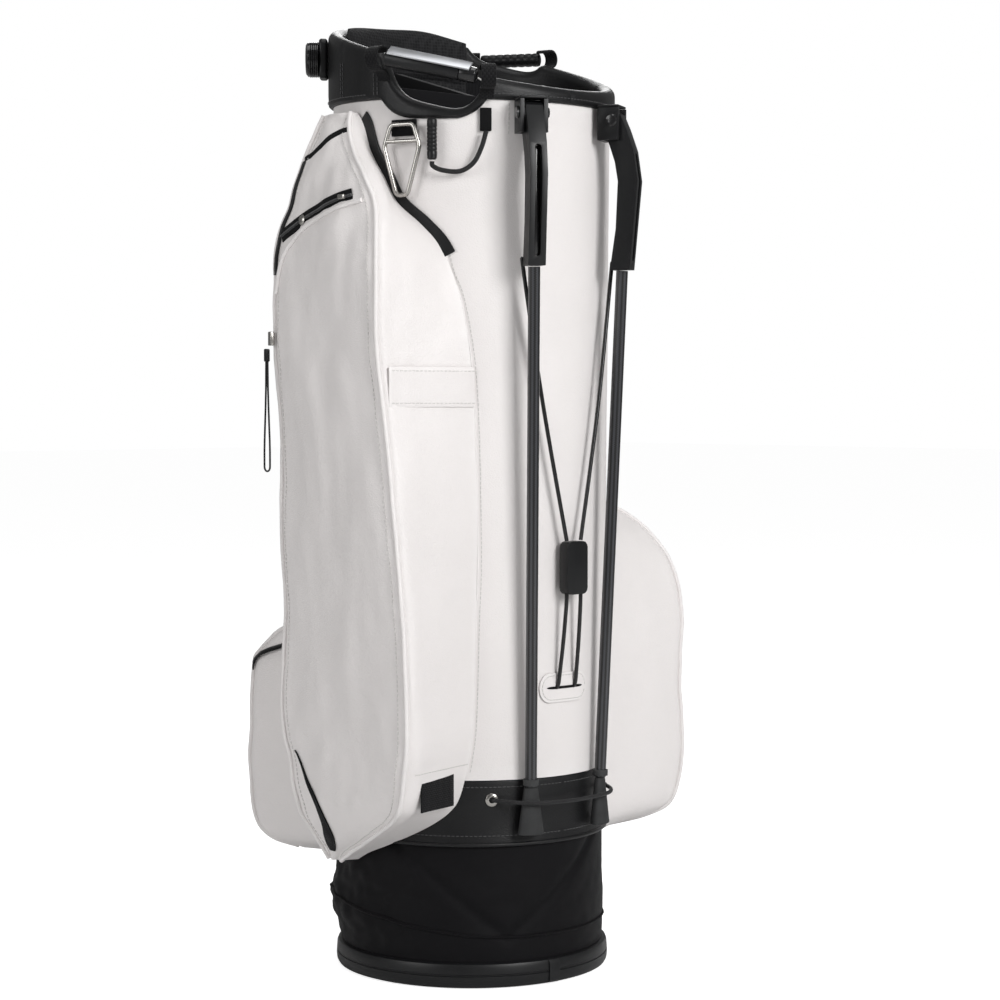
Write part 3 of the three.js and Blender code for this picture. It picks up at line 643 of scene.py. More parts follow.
def set_stage():
    start_fresh()
    bpy.ops.mesh.primitive_plane_add(size=40.0, location=(0, 0, -0.0005))
    floor = bpy.context.object
    floor.name = "floor"
    pale, tree, shader = new_finish("pale floor", Roughness=0.8)
    shader.inputs["Base Color"].default_value = (0.82, 0.82, 0.82, 1)
    shader.inputs["Emission Color"].default_value = (1, 1, 1, 1)
    seen = math_node(tree, "MULTIPLY", add_node(tree, "LightPath").outputs["Is Camera Ray"], 0.8)
    tree.links.new(seen, shader.inputs["Emission Strength"])
    floor.data.materials.append(pale)
    world = bpy.data.worlds.new("studio")
    world.use_nodes = True
    tree = world.node_tree
    tree.nodes["Background"].inputs["Color"].default_value = (1, 1, 1, 1)
    seen = math_node(tree, "MULTIPLY", add_node(tree, "LightPath").outputs["Is Camera Ray"], 0.78)
    tree.links.new(math_node(tree, "ADD", seen, 0.22), tree.nodes["Background"].inputs["Strength"])
    bpy.context.scene.world = world
    for name, place, size, power in (
            ("key", (-0.1, -2.8, 1.7), 1.2, 66), ("side", (-2.9, 0.1, 1.3), 1.3, 23),
            ("rim", (1.5, 1.6, 1.9), 1.0, 16), ("top", (-0.2, -0.3, 2.6), 1.2, 12)):
        bpy.ops.object.light_add(type="AREA", location=place)
        light = bpy.context.object
        light.name = name
        light.data.size, light.data.energy = size, power
        light.rotation_euler = (Vector((0, 0, 0.45)) - Vector(place)).to_track_quat("-Z", "Y").to_euler()
    bpy.ops.object.camera_add(location=(-1.598, -1.7646, 0.5432))
    camera = bpy.context.object
    toward, right = Vector((0.6713, 0.7412, 0)), Vector((0.7412, -0.6713, 0))
    turn = math.radians(0.65)
    aim = (toward * math.cos(turn) + right * math.sin(turn)) - Vector((0, 0, math.tan(math.radians(2.37))))
    camera.rotation_euler = aim.to_track_quat("-Z", "Y").to_euler()
    camera.data.lens, camera.data.sensor_width = 89.0, 36.0
    bpy.context.scene.camera = camera
    bpy.context.scene.view_settings.view_transform = "Standard"


set_stage()


# ---------------------------------------------------------------- forms that the bag repeats

def ring_shell(name, section, low=0.0, high=360.0, around=160, cloth=(1, 1)):
    """A closed (radius, height) section carried round the bag; section(azimuth) gives its points."""
    count = len(section(low))
    whole = high - low >= 359.9

    def place(u, v):
        azimuth = low + (high - low) * u
        radius, z = section(azimuth)[round(v * count) % count]
        return polar(radius, azimuth, z)
    return wrapped_grid(name, around, count, place, closed=True, capped=not whole, cloth=cloth)


def round_section(inner, outer, low, high, corner, steps=5):
    """A rectangle of (radius, z) with rounded corners."""
    corner = min(corner, (outer - inner) / 2.01, (high - low) / 2.01)
    points = []
    for r0, z0, start in ((outer - corner, low + corner, -90), (outer - corner, high - corner, 0),
                          (inner + corner, high - corner, 90), (inner + corner, low + corner, 180)):
        for i in range(steps + 1):
            turn = math.radians(start + 90 * i / steps)
            points.append((r0 + corner * math.cos(turn), z0 + corner * math.sin(turn)))
    return points


def strap(name, points, normals, width, thickness, wide=6):
    """A flat strap along the points; normals is the outward direction at each of them."""
    count = len(points) - 1

    def place(u, v):
        i = round(v * count)
        ahead = Vector(points[min(i + 1, count)]) - Vector(points[max(i - 1, 0)])
        side = ahead.cross(Vector(normals[i])).normalized()
        return Vector(points[i]) + side * (u - 0.5) * width
    piece = wrapped_grid(name, wide, count, place, cloth=(width, run_length(points)))
    thicken(piece, thickness, 0.0)
    soften(piece, thickness * 0.3, 2, 50)
    return piece


def wall_line(pairs, lift, steps=8):
    """A line on the round wall through (azimuth, z) pairs, lifted off it."""
    return [polar(tube_radius(p[1]) + lift, p[0], p[1]) for p in
            ((q.x, q.y) for q in smooth_path([Vector((a, z)) for a, z in pairs], steps))]


def lofted_rows(sections, steps=7):
    """Section rows [z, reach, front, back, wall front, wall back], smoothed and in metres."""
    rows = smooth_path([Vector(s) for s in sections], steps)
    return [[r[0] / 1000, r[1] / 1000, r[2] / 1000, r[3] / 1000, r[4], r[5]] for r in rows]


PLACINGS = {"near": lambda x, y, z: Vector((-x, y, z)), "far": lambda x, y, z: Vector((x, y, z)),
            "ball": lambda x, y, z: Vector((-y, x, z))}
FACE, CORNER, OUTER, WALL = 12, 8, 28, 18       # points along each stretch of a pocket's outline
FRONT_EDGE, BACK_EDGE = FACE + CORNER // 2, FACE + CORNER + OUTER + CORNER // 2


def pocket_outline(row, place):
    """The closed outline of a pocket at one height: front, corner, outer face, corner, back, wall."""
    z, reach, front, back, wall_front, wall_back = row
    wall = tube_radius(z) + POCKET_GAP
    a, b = math.radians(wall_front), math.radians(wall_back)
    start = Vector((wall * math.sin(a), -wall * math.cos(a)))
    stop = Vector((wall * math.sin(b), -wall * math.cos(b)))
    corner = min(0.016, (back - front) / 3, (reach - wall) * 0.8)
    f0, f1 = Vector((reach - corner, front)), Vector((reach, front + corner))
    b0, b1 = Vector((reach, back - corner)), Vector((reach - corner, back))
    points = [start.lerp(f0, i / FACE) for i in range(FACE)]
    for i in range(CORNER):
        t = i / CORNER
        points.append(f0 * (1 - t) ** 2 + Vector((reach, front)) * 2 * t * (1 - t) + f1 * t * t)
    for i in range(OUTER):
        t = i / OUTER
        points.append(f1.lerp(b0, t) + Vector((POCKET_PUFF * 4 * t * (1 - t), 0)))
    for i in range(CORNER):
        t = i / CORNER
        points.append(b0 * (1 - t) ** 2 + Vector((reach, back)) * 2 * t * (1 - t) + b1 * t * t)
    points += [b1.lerp(stop, i / FACE) for i in range(FACE)]
    for i in range(WALL):
        turn = b + (a - b) * i / WALL
        points.append(Vector((wall * math.sin(turn), -wall * math.cos(turn))))
    return [place(p.x, p.y, z) for p in points]


def pocket(kind, sections, nodes, seed):
    """A sewn pocket with the slack of stuffed leather, its piping and stitches; returns its outlines."""
    rows = [pocket_outline(row, PLACINGS[kind]) for row in lofted_rows(sections)]
    count, high = len(rows[0]), len(rows) - 1
    soft = FACE + 2 * CORNER + OUTER + FACE
    slack = []
    for j, row in enumerate(rows):
        line = []
        for i, point in enumerate(row):
            weight = 0.0 if i >= soft else math.sin(math.pi * min(1, (i + 1) / soft)) ** 0.5
            edge = min(1.0, min(j, high - j) / 5)
            drift = noise.noise(Vector((point.x * 22, point.y * 22, point.z * 11 + seed)))
            drift += 0.4 * noise.noise(Vector((point.x * 60, point.y * 60, point.z * 35 + seed)))
            line.append(point + level_out(point) * POCKET_SLACK * weight * edge * (drift - 0.45))
        slack.append(line)

    def place(u, v):
        return slack[round(v * high)][round(u * count) % count]
    shell = wrapped_grid(f"{kind}_pocket_shell", count, high, place, closed=True, capped=True)
    dress(shell, "bag", "white_leather", nodes, angle=60)
    bars = [round_bar(f"{kind}_piping_{index}", along(slack, index, 0.0014), 0.0023)
            for index in (FRONT_EDGE, BACK_EDGE)]
    dress(joined(f"{kind}_piping", bars), "bag", "white_leather")
    stitches(f"{kind}_stitches", [along(slack, index, 0.0003)[3:-3]
                                  for index in (FRONT_EDGE + 3, BACK_EDGE - 3)], "white_leather")
    return slack


def along(rows, index, lift=0.0):
    """The line up a pocket at one place of its outline."""
    return [row[index] + level_out(row[index]) * lift for row in rows]


def between(points, low, high):
    return [p for p in points if low <= p.z <= high]


# ---------------------------------------------------------------- tube, band, boot and base

def seat_height(azimuth):
    return min(collar_low(azimuth), collar_high(azimuth) - 0.009) - 0.0004


def make_tube():
    def section(azimuth):
        top = seat_height(azimuth)
        outer = []
        for i in range(41):
            z = BAND_TOP_Z + 0.0004 + (top - BAND_TOP_Z - 0.0004) * i / 40
            ripple = noise.noise(Vector((math.sin(math.radians(azimuth)) * 4,
                                         math.cos(math.radians(azimuth)) * 4, z * 9)))
            outer.append((tube_radius(z) + 0.0005 * ripple * math.sin(math.pi * i / 40), z))
        return outer + [(TUBE_TOP_R - 0.004, top), (TUBE_LOW_R - 0.004, BAND_TOP_Z + 0.0004)]
    wall = ring_shell("tube_wall", section, around=180)
    dress(wall, "bag", "white_leather", ["tube"])

    def lining_section(azimuth):
        return round_section(0.1213, 0.1218, 0.13, collar_high(azimuth) - 0.02, 0.0002, 1)
    lining = ring_shell("inner_lining", lining_section, around=96, cloth=(0.76, 0.7))
    dress(lining, "bag", "lining_cloth")
    seam = [(-54, 0.690), (-51, 0.660), (-47, 0.636), (-44, 0.602), (-42, 0.567), (-40.6, 0.504),
            (-39.8, 0.395), (-40.6, 0.34), (-41.8, 0.246), (-43.8, 0.208), (-45, 0.197)]
    dress(round_bar("wall_seam_piping", wall_line(seam, 0.0006), 0.0011), "bag", "white_leather")
    stitches("wall_stitches", [wall_line([(a + 1.6, z) for a, z in seam], 0.0002),
                               wall_line([(-27.5, 0.782), (-27.3, 0.812)], 0.0002)], "white_leather")


def make_lower_band():
    wrap = [(0.1254, HEM_Z), (0.1282, HEM_Z), (0.1284, HEM_Z + 0.004), (0.1274, HEM_Z + 0.008),
            (0.1272, 0.16), (0.1273, BAND_TOP_Z - 0.003), (0.1268, BAND_TOP_Z - 0.0004),
            (0.1254, BAND_TOP_Z - 0.0004)]
    dress(ring_shell("lower_band_wrap", lambda azimuth: wrap), "bag", "black_leather", ["lower_band"])
    hem = [polar(0.1286, a, HEM_Z + 0.002) for a in range(0, 360, 3)]
    dress(round_bar("hem_piping", hem, 0.0019, closed=True), "bag", "black_leather")
    high = [polar(0.1274, a, BAND_TOP_Z - 0.006) for a in range(0, 361, 3)]
    low = [polar(0.1276, a, HEM_Z + 0.010) for a in range(0, 361, 3)]
    stitches("band_stitches", [high, low], "black_leather", BLACK_THREAD)


def boot_radius(azimuth, z):
    """Slack nylon: a smooth front with one inverted triangle, loose gathers at the back left."""
    t = (z - BOOT_LOW_Z) / BOOT_HEIGHT
    belly = math.sin(math.pi * min(1, max(0, t))) * (1.25 - 0.9 * t)
    slack = math.exp(-(angle_from(azimuth, -125) / 48) ** 2)
    x, y = math.sin(math.radians(azimuth)), math.cos(math.radians(azimuth))
    folds = noise.noise(Vector((x * 5, y * 5, z * 42))) + 0.6 * noise.noise(Vector((x * 9, y * 9, z * 95)))
    tilt = angle_from(azimuth, -27) / 48
    edge = abs(t - (0.2 + 0.75 * tilt))
    crease = -0.0024 * math.exp(-(edge / 0.06) ** 2) if tilt < 1.1 else 0.0
    return 0.1255 + belly * (0.001 + 0.0085 * slack + folds * (0.0012 + 0.0052 * slack)) + crease


def make_boot():
    def place(u, v):
        azimuth, z = 360 * u, BOOT_LOW_Z + BOOT_HEIGHT * v
        return polar(boot_radius(azimuth, z), azimuth, z)
    skirt = wrapped_grid("boot_cloth", 240, 44, place, closed=True, cloth=(0.8, 0.112))
    thicken(skirt, 0.0012)
    dress(skirt, None, "black_nylon", ["boot_skirt"])
    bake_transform(skirt)
    welt_path = []
    for azimuth in range(-140, 61, 4):
        z = 0.046 + 0.024 * blend_step(-azimuth, 20, 130)
        welt_path.append(polar(boot_radius(azimuth, z) + 0.0006, azimuth, z))
    welt = round_bar("boot_welt", welt_path, 0.0012)
    dress(welt, None, "black_nylon")
    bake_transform(welt)


def make_base():
    profile = [(0, 0), (0.1255, 0), (0.129, 0.0012), (0.1306, 0.004), (0.131, 0.0085), (0.1309, 0.0112),
               (0.1300, 0.0118), (0.1300, 0.0128), (0.1308, 0.0134), (0.1304, 0.0195), (0.1293, 0.0224),
               (0.1268, 0.0236), (0.12, 0.0236), (0, 0.0236)]
    dish = turned("base_moulding", profile, around=160)
    dress(dish, "base", "moulded_black", ["base_plate"])
    lap = [(0.1298, 0.0012), (0.1322, 0.0035), (0.1324, 0.019), (0.1304, 0.0222), (0.1298, 0.0222)]
    dress(ring_shell("base_lap", lambda a: lap, low=-9.0, high=-4.0, around=10), "base", "moulded_black")


# ---------------------------------------------------------------- collar, pads and inside

def make_collar():
    def section(azimuth):
        low, high = collar_low(azimuth), collar_high(azimuth)
        half = (COLLAR_OUT - COLLAR_IN) / 2
        crown = min(0.0085, (high - low) * 0.6)
        seam = sum(math.exp(-(angle_from(azimuth, s) / 0.9) ** 2) for s in (-104, -82, 60, 0, 150))
        wave = 0.0005 * noise.noise(Vector((azimuth * 0.11, 3, 1)))
        points = [(COLLAR_IN + 0.0006, low), (COLLAR_OUT - 0.0022, low), (COLLAR_OUT - 0.0006, low + 0.0016)]
        for i in range(1, 6):
            z = low + 0.0016 + (high - crown - low - 0.0016) * i / 6
            points.append((COLLAR_OUT + wave - 0.0008 * seam, z))
        for i in range(13):
            turn = math.pi * i / 12
            points.append((COLLAR_IN + half + (half + wave - 0.0008 * seam) * math.cos(turn),
                           high - crown + crown * math.sin(turn)))
        points += [(COLLAR_IN, (low + high - crown) / 2)]
        return points
    dress(ring_shell("collar_roll", section, around=240), "bag", "black_leather", ["collar"])
    lines = []
    for azimuth in (-104.9, -103.1, -82.9, -81.1):
        low, high = collar_low(azimuth) + 0.004, collar_high(azimuth) - 0.010
        lines.append([polar(COLLAR_OUT + 0.0003, azimuth, low + k * 0.0045)
                      for k in range(int((high - low) / 0.0045))])
    lines.append([polar(COLLAR_OUT + 0.0001, a, collar_low(a) + 0.0045) for a in range(-34, 276, 2)])
    stitches("collar_stitches", lines, "black_leather", BLACK_THREAD)
    piping = [polar(0.1214, a, collar_high(a) - 0.021) for a in range(0, 360, 3)]
    dress(round_bar("rim_piping", piping, 0.001, closed=True), "bag", "lining_cloth", material=WHITE_THREAD)


def padded_arc(name, low, high, inner, outer, bottom, top, channels, depth):
    """A stuffed pad on the round wall: swollen section, sewn edge, quilted channels across it."""
    def section(azimuth):
        across = (azimuth - low) / (high - low)
        swell = (1 - (2 * across - 1) ** 4) ** 0.6 if 0 < across < 1 else 0.0
        z0, z1 = bottom(azimuth), top(azimuth)
        points = []
        for i in range(33):
            t = i / 32
            lens = (1 - (2 * t - 1) ** 6) ** 0.7 if 0 < t < 1 else 0.0
            valley = sum(math.exp(-((t - c) / 0.018) ** 2) for c in channels)
            fat = max(0.08, lens * swell * (1 - depth * valley))
            points.append((inner + (outer - inner) * fat, z0 + (z1 - z0) * t))
        return points + [(inner, z1 - 0.001), (inner, (z0 + z1) / 2), (inner, z0 + 0.001)]
    return ring_shell(name, section, low, high, around=72, cloth=(0.2, 0.25))


def make_pads():
    hip = padded_arc("hip_pad_cushion", 150.2, 209.8, TUBE_TOP_R - 0.0008, 0.1462, lambda a: 0.401,
                     lambda a: 0.649, (0.28, 0.5, 0.72), 0.45)
    relax(hip, 3)
    dress(hip, "bag", "mesh_padding", ["hip_pad"])
    first, wide, bottom, tall = 150.6, 58.8, 0.4015, 0.247
    corners = ((0, 0), (1, 0), (1, 1), (0, 1))
    edge = [polar(0.1334, first + wide * (a + (c - a) * i / 30), bottom + tall * (b + (d - b) * i / 30))
            for (a, b), (c, d) in zip(corners, corners[1:] + corners[:1]) for i in range(30)]
    dress(round_bar("hip_pad_binding", edge, 0.0022, closed=True), "bag", "webbing")

    def crest_top(azimuth):
        return rim_plane(azimuth) + 0.002 + 0.004 * math.exp(-(angle_from(azimuth, SPINE_HUMP_AZ) / 16) ** 2)
    crest = padded_arc("crest_cushion", 140.3, 219.7, 0.1212, 0.1118, lambda a: 0.828, crest_top,
                       (0.4,), 0.4)
    relax(crest, 2)
    dress(crest, "bag", "mesh_padding", ["crest_pad"])


def make_dividers():
    rolled("divider_top", "divider_padding", "bag", "lining_cloth", 0.004, 4)
    for name in ("front", "spine", "cross"):
        rolled(f"divider_panel_{name}", f"divider_sheet_{name}", "bag", "lining_cloth", 0.0006, 2)


# ---------------------------------------------------------------- handles and strap fittings

def webbing_loop(name, azimuth, z, node, size=1.0):
    """A loop of webbing over a handle's end, both tails sewn to the collar."""
    profile = [(0.1378, -0.019), (0.1392, -0.0145), (0.1436, -0.0104), (0.1496, -0.0098), (0.1552, -0.0062),
               (0.1578, 0.0006), (0.1554, 0.0072), (0.1496, 0.0104), (0.1436, 0.0102), (0.1392, 0.0092),
               (0.1377, 0.0066)]
    fitted = [(0.1378 + (r - 0.1378) * (0.8 + 0.2 * size), dz * size) for r, dz in profile]
    path = smooth_path([polar(r, azimuth, z + dz) for r, dz in fitted], 4)
    out = polar(1, azimuth, 0)
    side = Vector((0, 0, 1)).cross(out)
    normals = []
    for i in range(len(path)):
        ahead = (path[min(i + 1, len(path) - 1)] - path[max(i - 1, 0)]).normalized()
        normals.append(side.cross(ahead))
    band = strap(name, path, normals, 0.0135, 0.0017)
    dress(band, "bag", "webbing", [node])


def make_handles():
    rim = [(-73.5, rim_plane(-73.5) - 0.004), (-40.5, rim_plane(-40.5) - 0.004)]
    for node, bevel, slot in (("near_handle_bar", 0.0006, "moulded_black"),
                              ("near_handle_grip", 0.0009, "gloss_black")):
        rolled(node, node + "_form", "bag", slot, bevel, 3, 40)
    face = (polar(0.62, -57, 0.0) + Vector((0, 0, 0.78))).normalized()
    ends = [polar(HANDLE_R, a, z) + face * 0.0088 for a, z in rim]
    run = (ends[1] - ends[0]).normalized()
    across = face.cross(run).normalized()
    turn = Matrix((run, across, run.cross(across))).transposed()
    plate = rounded_block("handle_top_plate", ((ends[1] - ends[0]).length * 0.92, 0.0125, 0.0016),
                          ends[0].lerp(ends[1], 0.5), turn, 0.0007, 3)
    dress(plate, "bag", "brushed_metal", ["near_handle_plate"])
    webbing_loop("near_loop_back", -77.5, rim[0][1], "near_handle_loop_back")
    webbing_loop("near_loop_front", -36.5, rim[1][1], "near_handle_loop_front")
    a, b = polar(HANDLE_R, 110, FAR_HANDLE_Z), polar(HANDLE_R, 134, FAR_HANDLE_Z)
    length = (b - a).length
    profile = [(0, 0), (0.0045, 0)]
    for i in range(49):
        t = i / 48
        profile.append((0.0062 + 0.0006 * abs(math.sin(math.pi * 8 * t)) ** 0.6,
                        0.0008 + (length - 0.0016) * t))
    profile += [(0.0045, length), (0, length)]
    grip = turned("far_grip_wrap", profile, 32, centre=a, axis=(b - a).normalized())
    dress(grip, "bag", "moulded_black", ["far_handle_grip"])
    webbing_loop("far_loop_front", 106.9, 0.8835, "far_handle_loop_front", 0.8)
    webbing_loop("far_loop_back", 137.1, 0.8835, "far_handle_loop_back", 0.8)
    for word, azimuth in SWIVEL_AZ.items():
        rolled(f"strap_block_{word}", f"strap_mount_{word}", "bag", "moulded_black", 0.0025, 4)
        profile = [(0, 0), (0.0155, 0)]
        for i in range(5):
            start = i * 0.0018
            profile += [(0.017, 0.0006 + start), (0.017, 0.0014 + start), (0.0162, 0.0018 + start)]
        profile += [(0.0165, 0.0102), (0.014, 0.0123), (0.006, 0.0125), (0.005, 0.0115), (0, 0.0115)]
        disc = turned(f"swivel_disc_{word}", profile, 48, polar(0.1458, azimuth, RIM_MID_Z),
                      polar(1, azimuth, 0))
        dress(disc, f"swivel_{word}", "gloss_black", [f"strap_swivel_{word}"])


# ---------------------------------------------------------------- legs and their linkage

def leg_tube(name, foot, top):
    axis = (top - foot).normalized()
    side = axis.orthogonal().normalized()
    other = axis.cross(side)

    def place(u, v):
        turn = 2 * math.pi * u
        return foot + (top - foot) * v + (side * math.cos(turn) + other * math.sin(turn)) * LEG_R
    return wrapped_grid(name, 36, 24, place, closed=True, capped=True,
                        cloth=(2 * math.pi * LEG_R, (top - foot).length))


def make_legs():
    bolt_head = [(0, 0), (0.0056, 0), (0.0058, 0.0008), (0.0046, 0.0022), (0, 0.0028)]
    washer = [(0.0034, 0), (0.0062, 0), (0.0062, 0.0005), (0.0034, 0.0005), (0.0034, 0)]
    ferrule = [(0.0064, 0), (0.0073, 0.0004), (0.0073, 0.0056), (0.0064, 0.006), (0.0064, 0)]
    for word, side in (("left", -1), ("right", 1)):
        body = f"leg_{word}"
        pivot, out = polar(PIVOT_R, side * LEG_AZ, 0.0), polar(1, side * LEG_YAW, 0)
        square = Matrix.Rotation(math.radians(side * LEG_YAW), 3, "Z")
        rolled(f"leg_bracket_{word}", f"bracket_{word}", "bag", "moulded_black", 0.0012)
        cap = rounded_block(f"bracket_cap_{word}", (0.0262, 0.0205, 0.0022),
                            pivot - out * 0.0035 + Vector((0, 0, PIVOT_Z + 0.0135)), square, 0.001, 3)
        dress(cap, "bag", "moulded_black")
        rolled(f"leg_pin_{word}", f"pivot_pin_{word}", "bag", "frame_rod", 0.0004, 2)
        rolled(f"leg_shoulder_{word}", f"shoulder_{word}", body, "moulded_black", 0.0018, 4, 25)
        web = rounded_block(f"shoulder_web_{word}", (0.0057, 0.007, 0.0975),
                            pivot + out * 0.0105 + Vector((0, 0, 0.72)), square, 0.0006, 2)
        dress(web, body, "gloss_black")
        centre, tangent = pivot + Vector((0, 0, PIVOT_Z)), polar(1, side * LEG_YAW + 90, 0)
        for letter, end in (("a", -1), ("b", 1)):
            bolt = turned(f"bracket_bolt_{word}_{letter}", bolt_head, 32,
                          centre + tangent * end * 0.0131, tangent * end)
            dress(bolt, "bag", "gloss_black")
            disc = turned(f"washer_{word}_{letter}", washer, 24,
                          centre + tangent * end * 0.0084, tangent * end)
            dress(disc, body, "frame_rod")
        top = pivot + out * 0.007 + Vector((0, 0, 0.6612))
        foot = polar(FOOT_R, side * FOOT_AZ, FOOT_Z)
        upward = (top - foot).normalized()
        dress(leg_tube(f"carbon_{word}", foot, top), body, "carbon_tube", [f"leg_tube_{word}"])
        ring = turned(f"tube_ferrule_{word}", ferrule, 36, foot + upward * 0.001, upward)
        dress(ring, body, "foot_rubber")
        rolled(f"leg_foot_{word}", f"foot_{word}", body, "foot_rubber", 0.0012)


def make_linkage():
    """Yoke, push rods, and lower wires that stay in the slot while the yoke lifts."""
    block = refined_copy("yoke", "yoke_block", 0.0014)
    in_edit(block, lambda: bpy.ops.mesh.bisect(plane_co=(0, 0, YOKE_LOW_Z), plane_no=(0, 0, 1),
                                               clear_inner=True, use_fill=True))
    dress(block, "yoke", "moulded_black", ["yoke"])
    for word, side in (("left", -1), ("right", 1)):
        low = Vector((side * 0.009, YOKE_Y, 0.4116))
        hook = polar(0.144, side * 23.5, 0.668)
        mid = low.lerp(hook, 0.5) + Vector((side * 0.003, 0, 0))
        bend = hook + Vector((side * -0.0015, 0, -0.012))
        rod = round_bar(f"spring_wire_{word}", smooth_path([low, mid, bend, hook], 14), WIRE_R, 5)
        dress(rod, f"rod_{word}", "coated_wire", [f"push_rod_{word}"])
        tail = [Vector((side * x, y, z)) for x, y, z in (
            (0.009, YOKE_Y, 0.366), (0.0091, -0.1397, 0.352), (0.0099, -0.1365, 0.318),
            (0.0107, -0.1325, 0.287), (0.0109, -0.1310, 0.2785), (0.011, -0.1288, 0.2755),
            (0.011, -0.1255, 0.2742))]
        wire = round_bar(f"slide_wire_{word}", smooth_path(tail, 8), WIRE_R, 5)
        dress(wire, None, "coated_wire")
        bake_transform(wire)
    make_slot_patch()


def slot_outline(across, half_height, least=0.0):
    """How far a slot's outline stands above its middle line; across runs from -1 to 1."""
    end = max(0.0, (abs(across) - 0.62) / 0.38)
    return half_height * math.sqrt(max(least, 1 - end * end))


def make_slot_patch():
    """The stitched leather patch round the slot that the lower wires run into."""
    def patch(half_width, half_height, lift):
        def place(u, v):
            across = 2 * u - 1
            z = SLOT_Z + (2 * v - 1) * slot_outline(across, half_height, 0.0004)
            return polar(tube_radius(z) + lift, across * half_width, z)
        return place
    leather_patch = wrapped_grid("patch_leather", 60, 8, patch(13.4, 0.0135, 0.0006))
    thicken(leather_patch, 0.0014, 1.0)
    dress(leather_patch, "bag", "white_leather", ["slot_patch"])
    opening = wrapped_grid("patch_slot", 40, 4, patch(10.0, 0.0012, 0.0021))
    thicken(opening, 0.0004, 1.0)
    dress(opening, "bag", "black_nylon")
    line = []
    for i in range(73):
        turn = 2 * math.pi * i / 72
        across = max(-1, min(1, 1.15 * math.cos(turn)))
        rise = slot_outline(across, 0.0112) * (1 if turn <= math.pi else -1)
        line.append(polar(tube_radius(0.275) + 0.0021, across * 12.2, SLOT_Z + rise))
    stitches("patch_stitches", [line], "white_leather", pitch=0.0036)


# ---------------------------------------------------------------- pockets and their zips

NEAR = [[110, 144, 22, 44, 98, 109], [119, 151, 4, 46, 90, 110], [128, 157, -16, 48, 80, 111],
        [140, 165, -43, 50, 68, 112], [152, 172, -68, 52, 58, 113], [164, 177, -90, 53, 51, 113.5],
        [178, 181, -104, 54, 47, 114], [208, 184, -113, 57, 43.8, 115], [245, 185, -118, 66, 41.8, 119],
        [340, 184, -112, 68, 40.6, 119], [450, 184, -98, 69, 40, 119], [567, 186, -82, 73, 42.2, 121],
        [636, 186, -78, 75, 47, 122], [678, 185, -76, 74, 54, 122], [700, 182, -72.5, 71, 62, 121],
        [722, 176, -62, 66, 73, 120], [745, 171, -44, 64, 79, 120], [770, 161, -16, 62, 86, 120],
        [795, 149, 2, 56, 90, 118], [806, 142, 8, 50, 94, 116]]
FAR = [[118, 152, -40, 40, 62, 118], [127, 180, -66, 66, 52, 128], [141, 197, -84, 84, 45, 135],
       [170, 205, -90, 90, 42, 138], [240, 207, -92, 92, 42, 138], [330, 206, -91, 91, 42, 138],
       [380, 198, -82, 82, 45, 135], [408, 186, -68, 68, 51, 129], [430, 166, -48, 48, 60, 120],
       [440, 148, -32, 32, 68, 112]]
BALL = [[96, 176, -80, 80, 62, 118], [106, 206, -98, 98, 52, 128], [130, 219, -104, 104, 50, 130],
        [200, 222, -105, 105, 50, 130], [270, 221, -104, 104, 50, 130], [292, 214, -100, 100, 52, 128],
        [318, 180, -88, 88, 56, 124], [335, 142, -74, 74, 60, 120]]


def zip_along(name, line, normals, width=0.011):
    """Black tape with a coil of teeth down its middle."""
    tape = strap(name + "_tape", line, normals, width, 0.0009)
    dress(tape, "bag", "black_nylon", material=ZIP_TAPE)
    lifted = [Vector(p) + Vector(n).normalized() * 0.0009 for p, n in zip(line, normals)]
    teeth = stitch_row(name + "_teeth", lifted, pitch=0.0018, length=0.0012, radius=0.0015)
    dress(teeth, "bag", "black_nylon", material=BLACK_THREAD)


def outline_band(rows, height, first, last, lift):
    """The line round a pocket at one height, from one place of its outline to another."""
    row = min(rows, key=lambda r: abs(r[0].z - height))
    return [p + level_out(p) * lift for p in row[first:last]]


def face_line(rows, pairs, lift):
    """A smooth line on a pocket's outer face through (share from front to back, z) pairs."""
    line = []
    for share, z in smooth_path([Vector(p) for p in pairs], 10):
        place = FACE + CORNER + max(-0.2, min(1.25, share)) * OUTER
        index, rest = int(place), place - int(place)
        below = max((r for r in rows if r[0].z <= z), key=lambda r: r[0].z, default=rows[0])
        above = min((r for r in rows if r[0].z >= z), key=lambda r: r[0].z, default=rows[-1])
        gap = above[0].z - below[0].z
        t = (z - below[0].z) / gap if gap > 1e-6 else 0.0
        point = below[index].lerp(below[index + 1], rest).lerp(above[index].lerp(above[index + 1], rest), t)
        line.append(point + level_out(point) * lift)
    return line


def away(line):
    return [level_out(point) for point in line]


def black_wedge(rows):
    """The black gusset that shows between the near pocket's face and the ball pocket."""
    edges = smooth_path([Vector(e) for e in ((1.0, 0.99, 0.216), (0.92, 0.88, 0.183), (0.8, 0.66, 0.15),
                                             (0.84, 0.5, 0.136), (0.95, 0.3, 0.121))], 6)

    def place(u, v):
        left, right, z = edges[round(v * (len(edges) - 1))]
        share = left + (right - left) * u
        return face_line(rows, [(share, z), (share, z + 0.0001)], 0.0008)[0]
    wedge = wrapped_grid("wedge_gusset", 6, len(edges) - 1, place)
    thicken(wedge, 0.0008, 1.0)
    dress(wedge, "bag", "black_nylon")


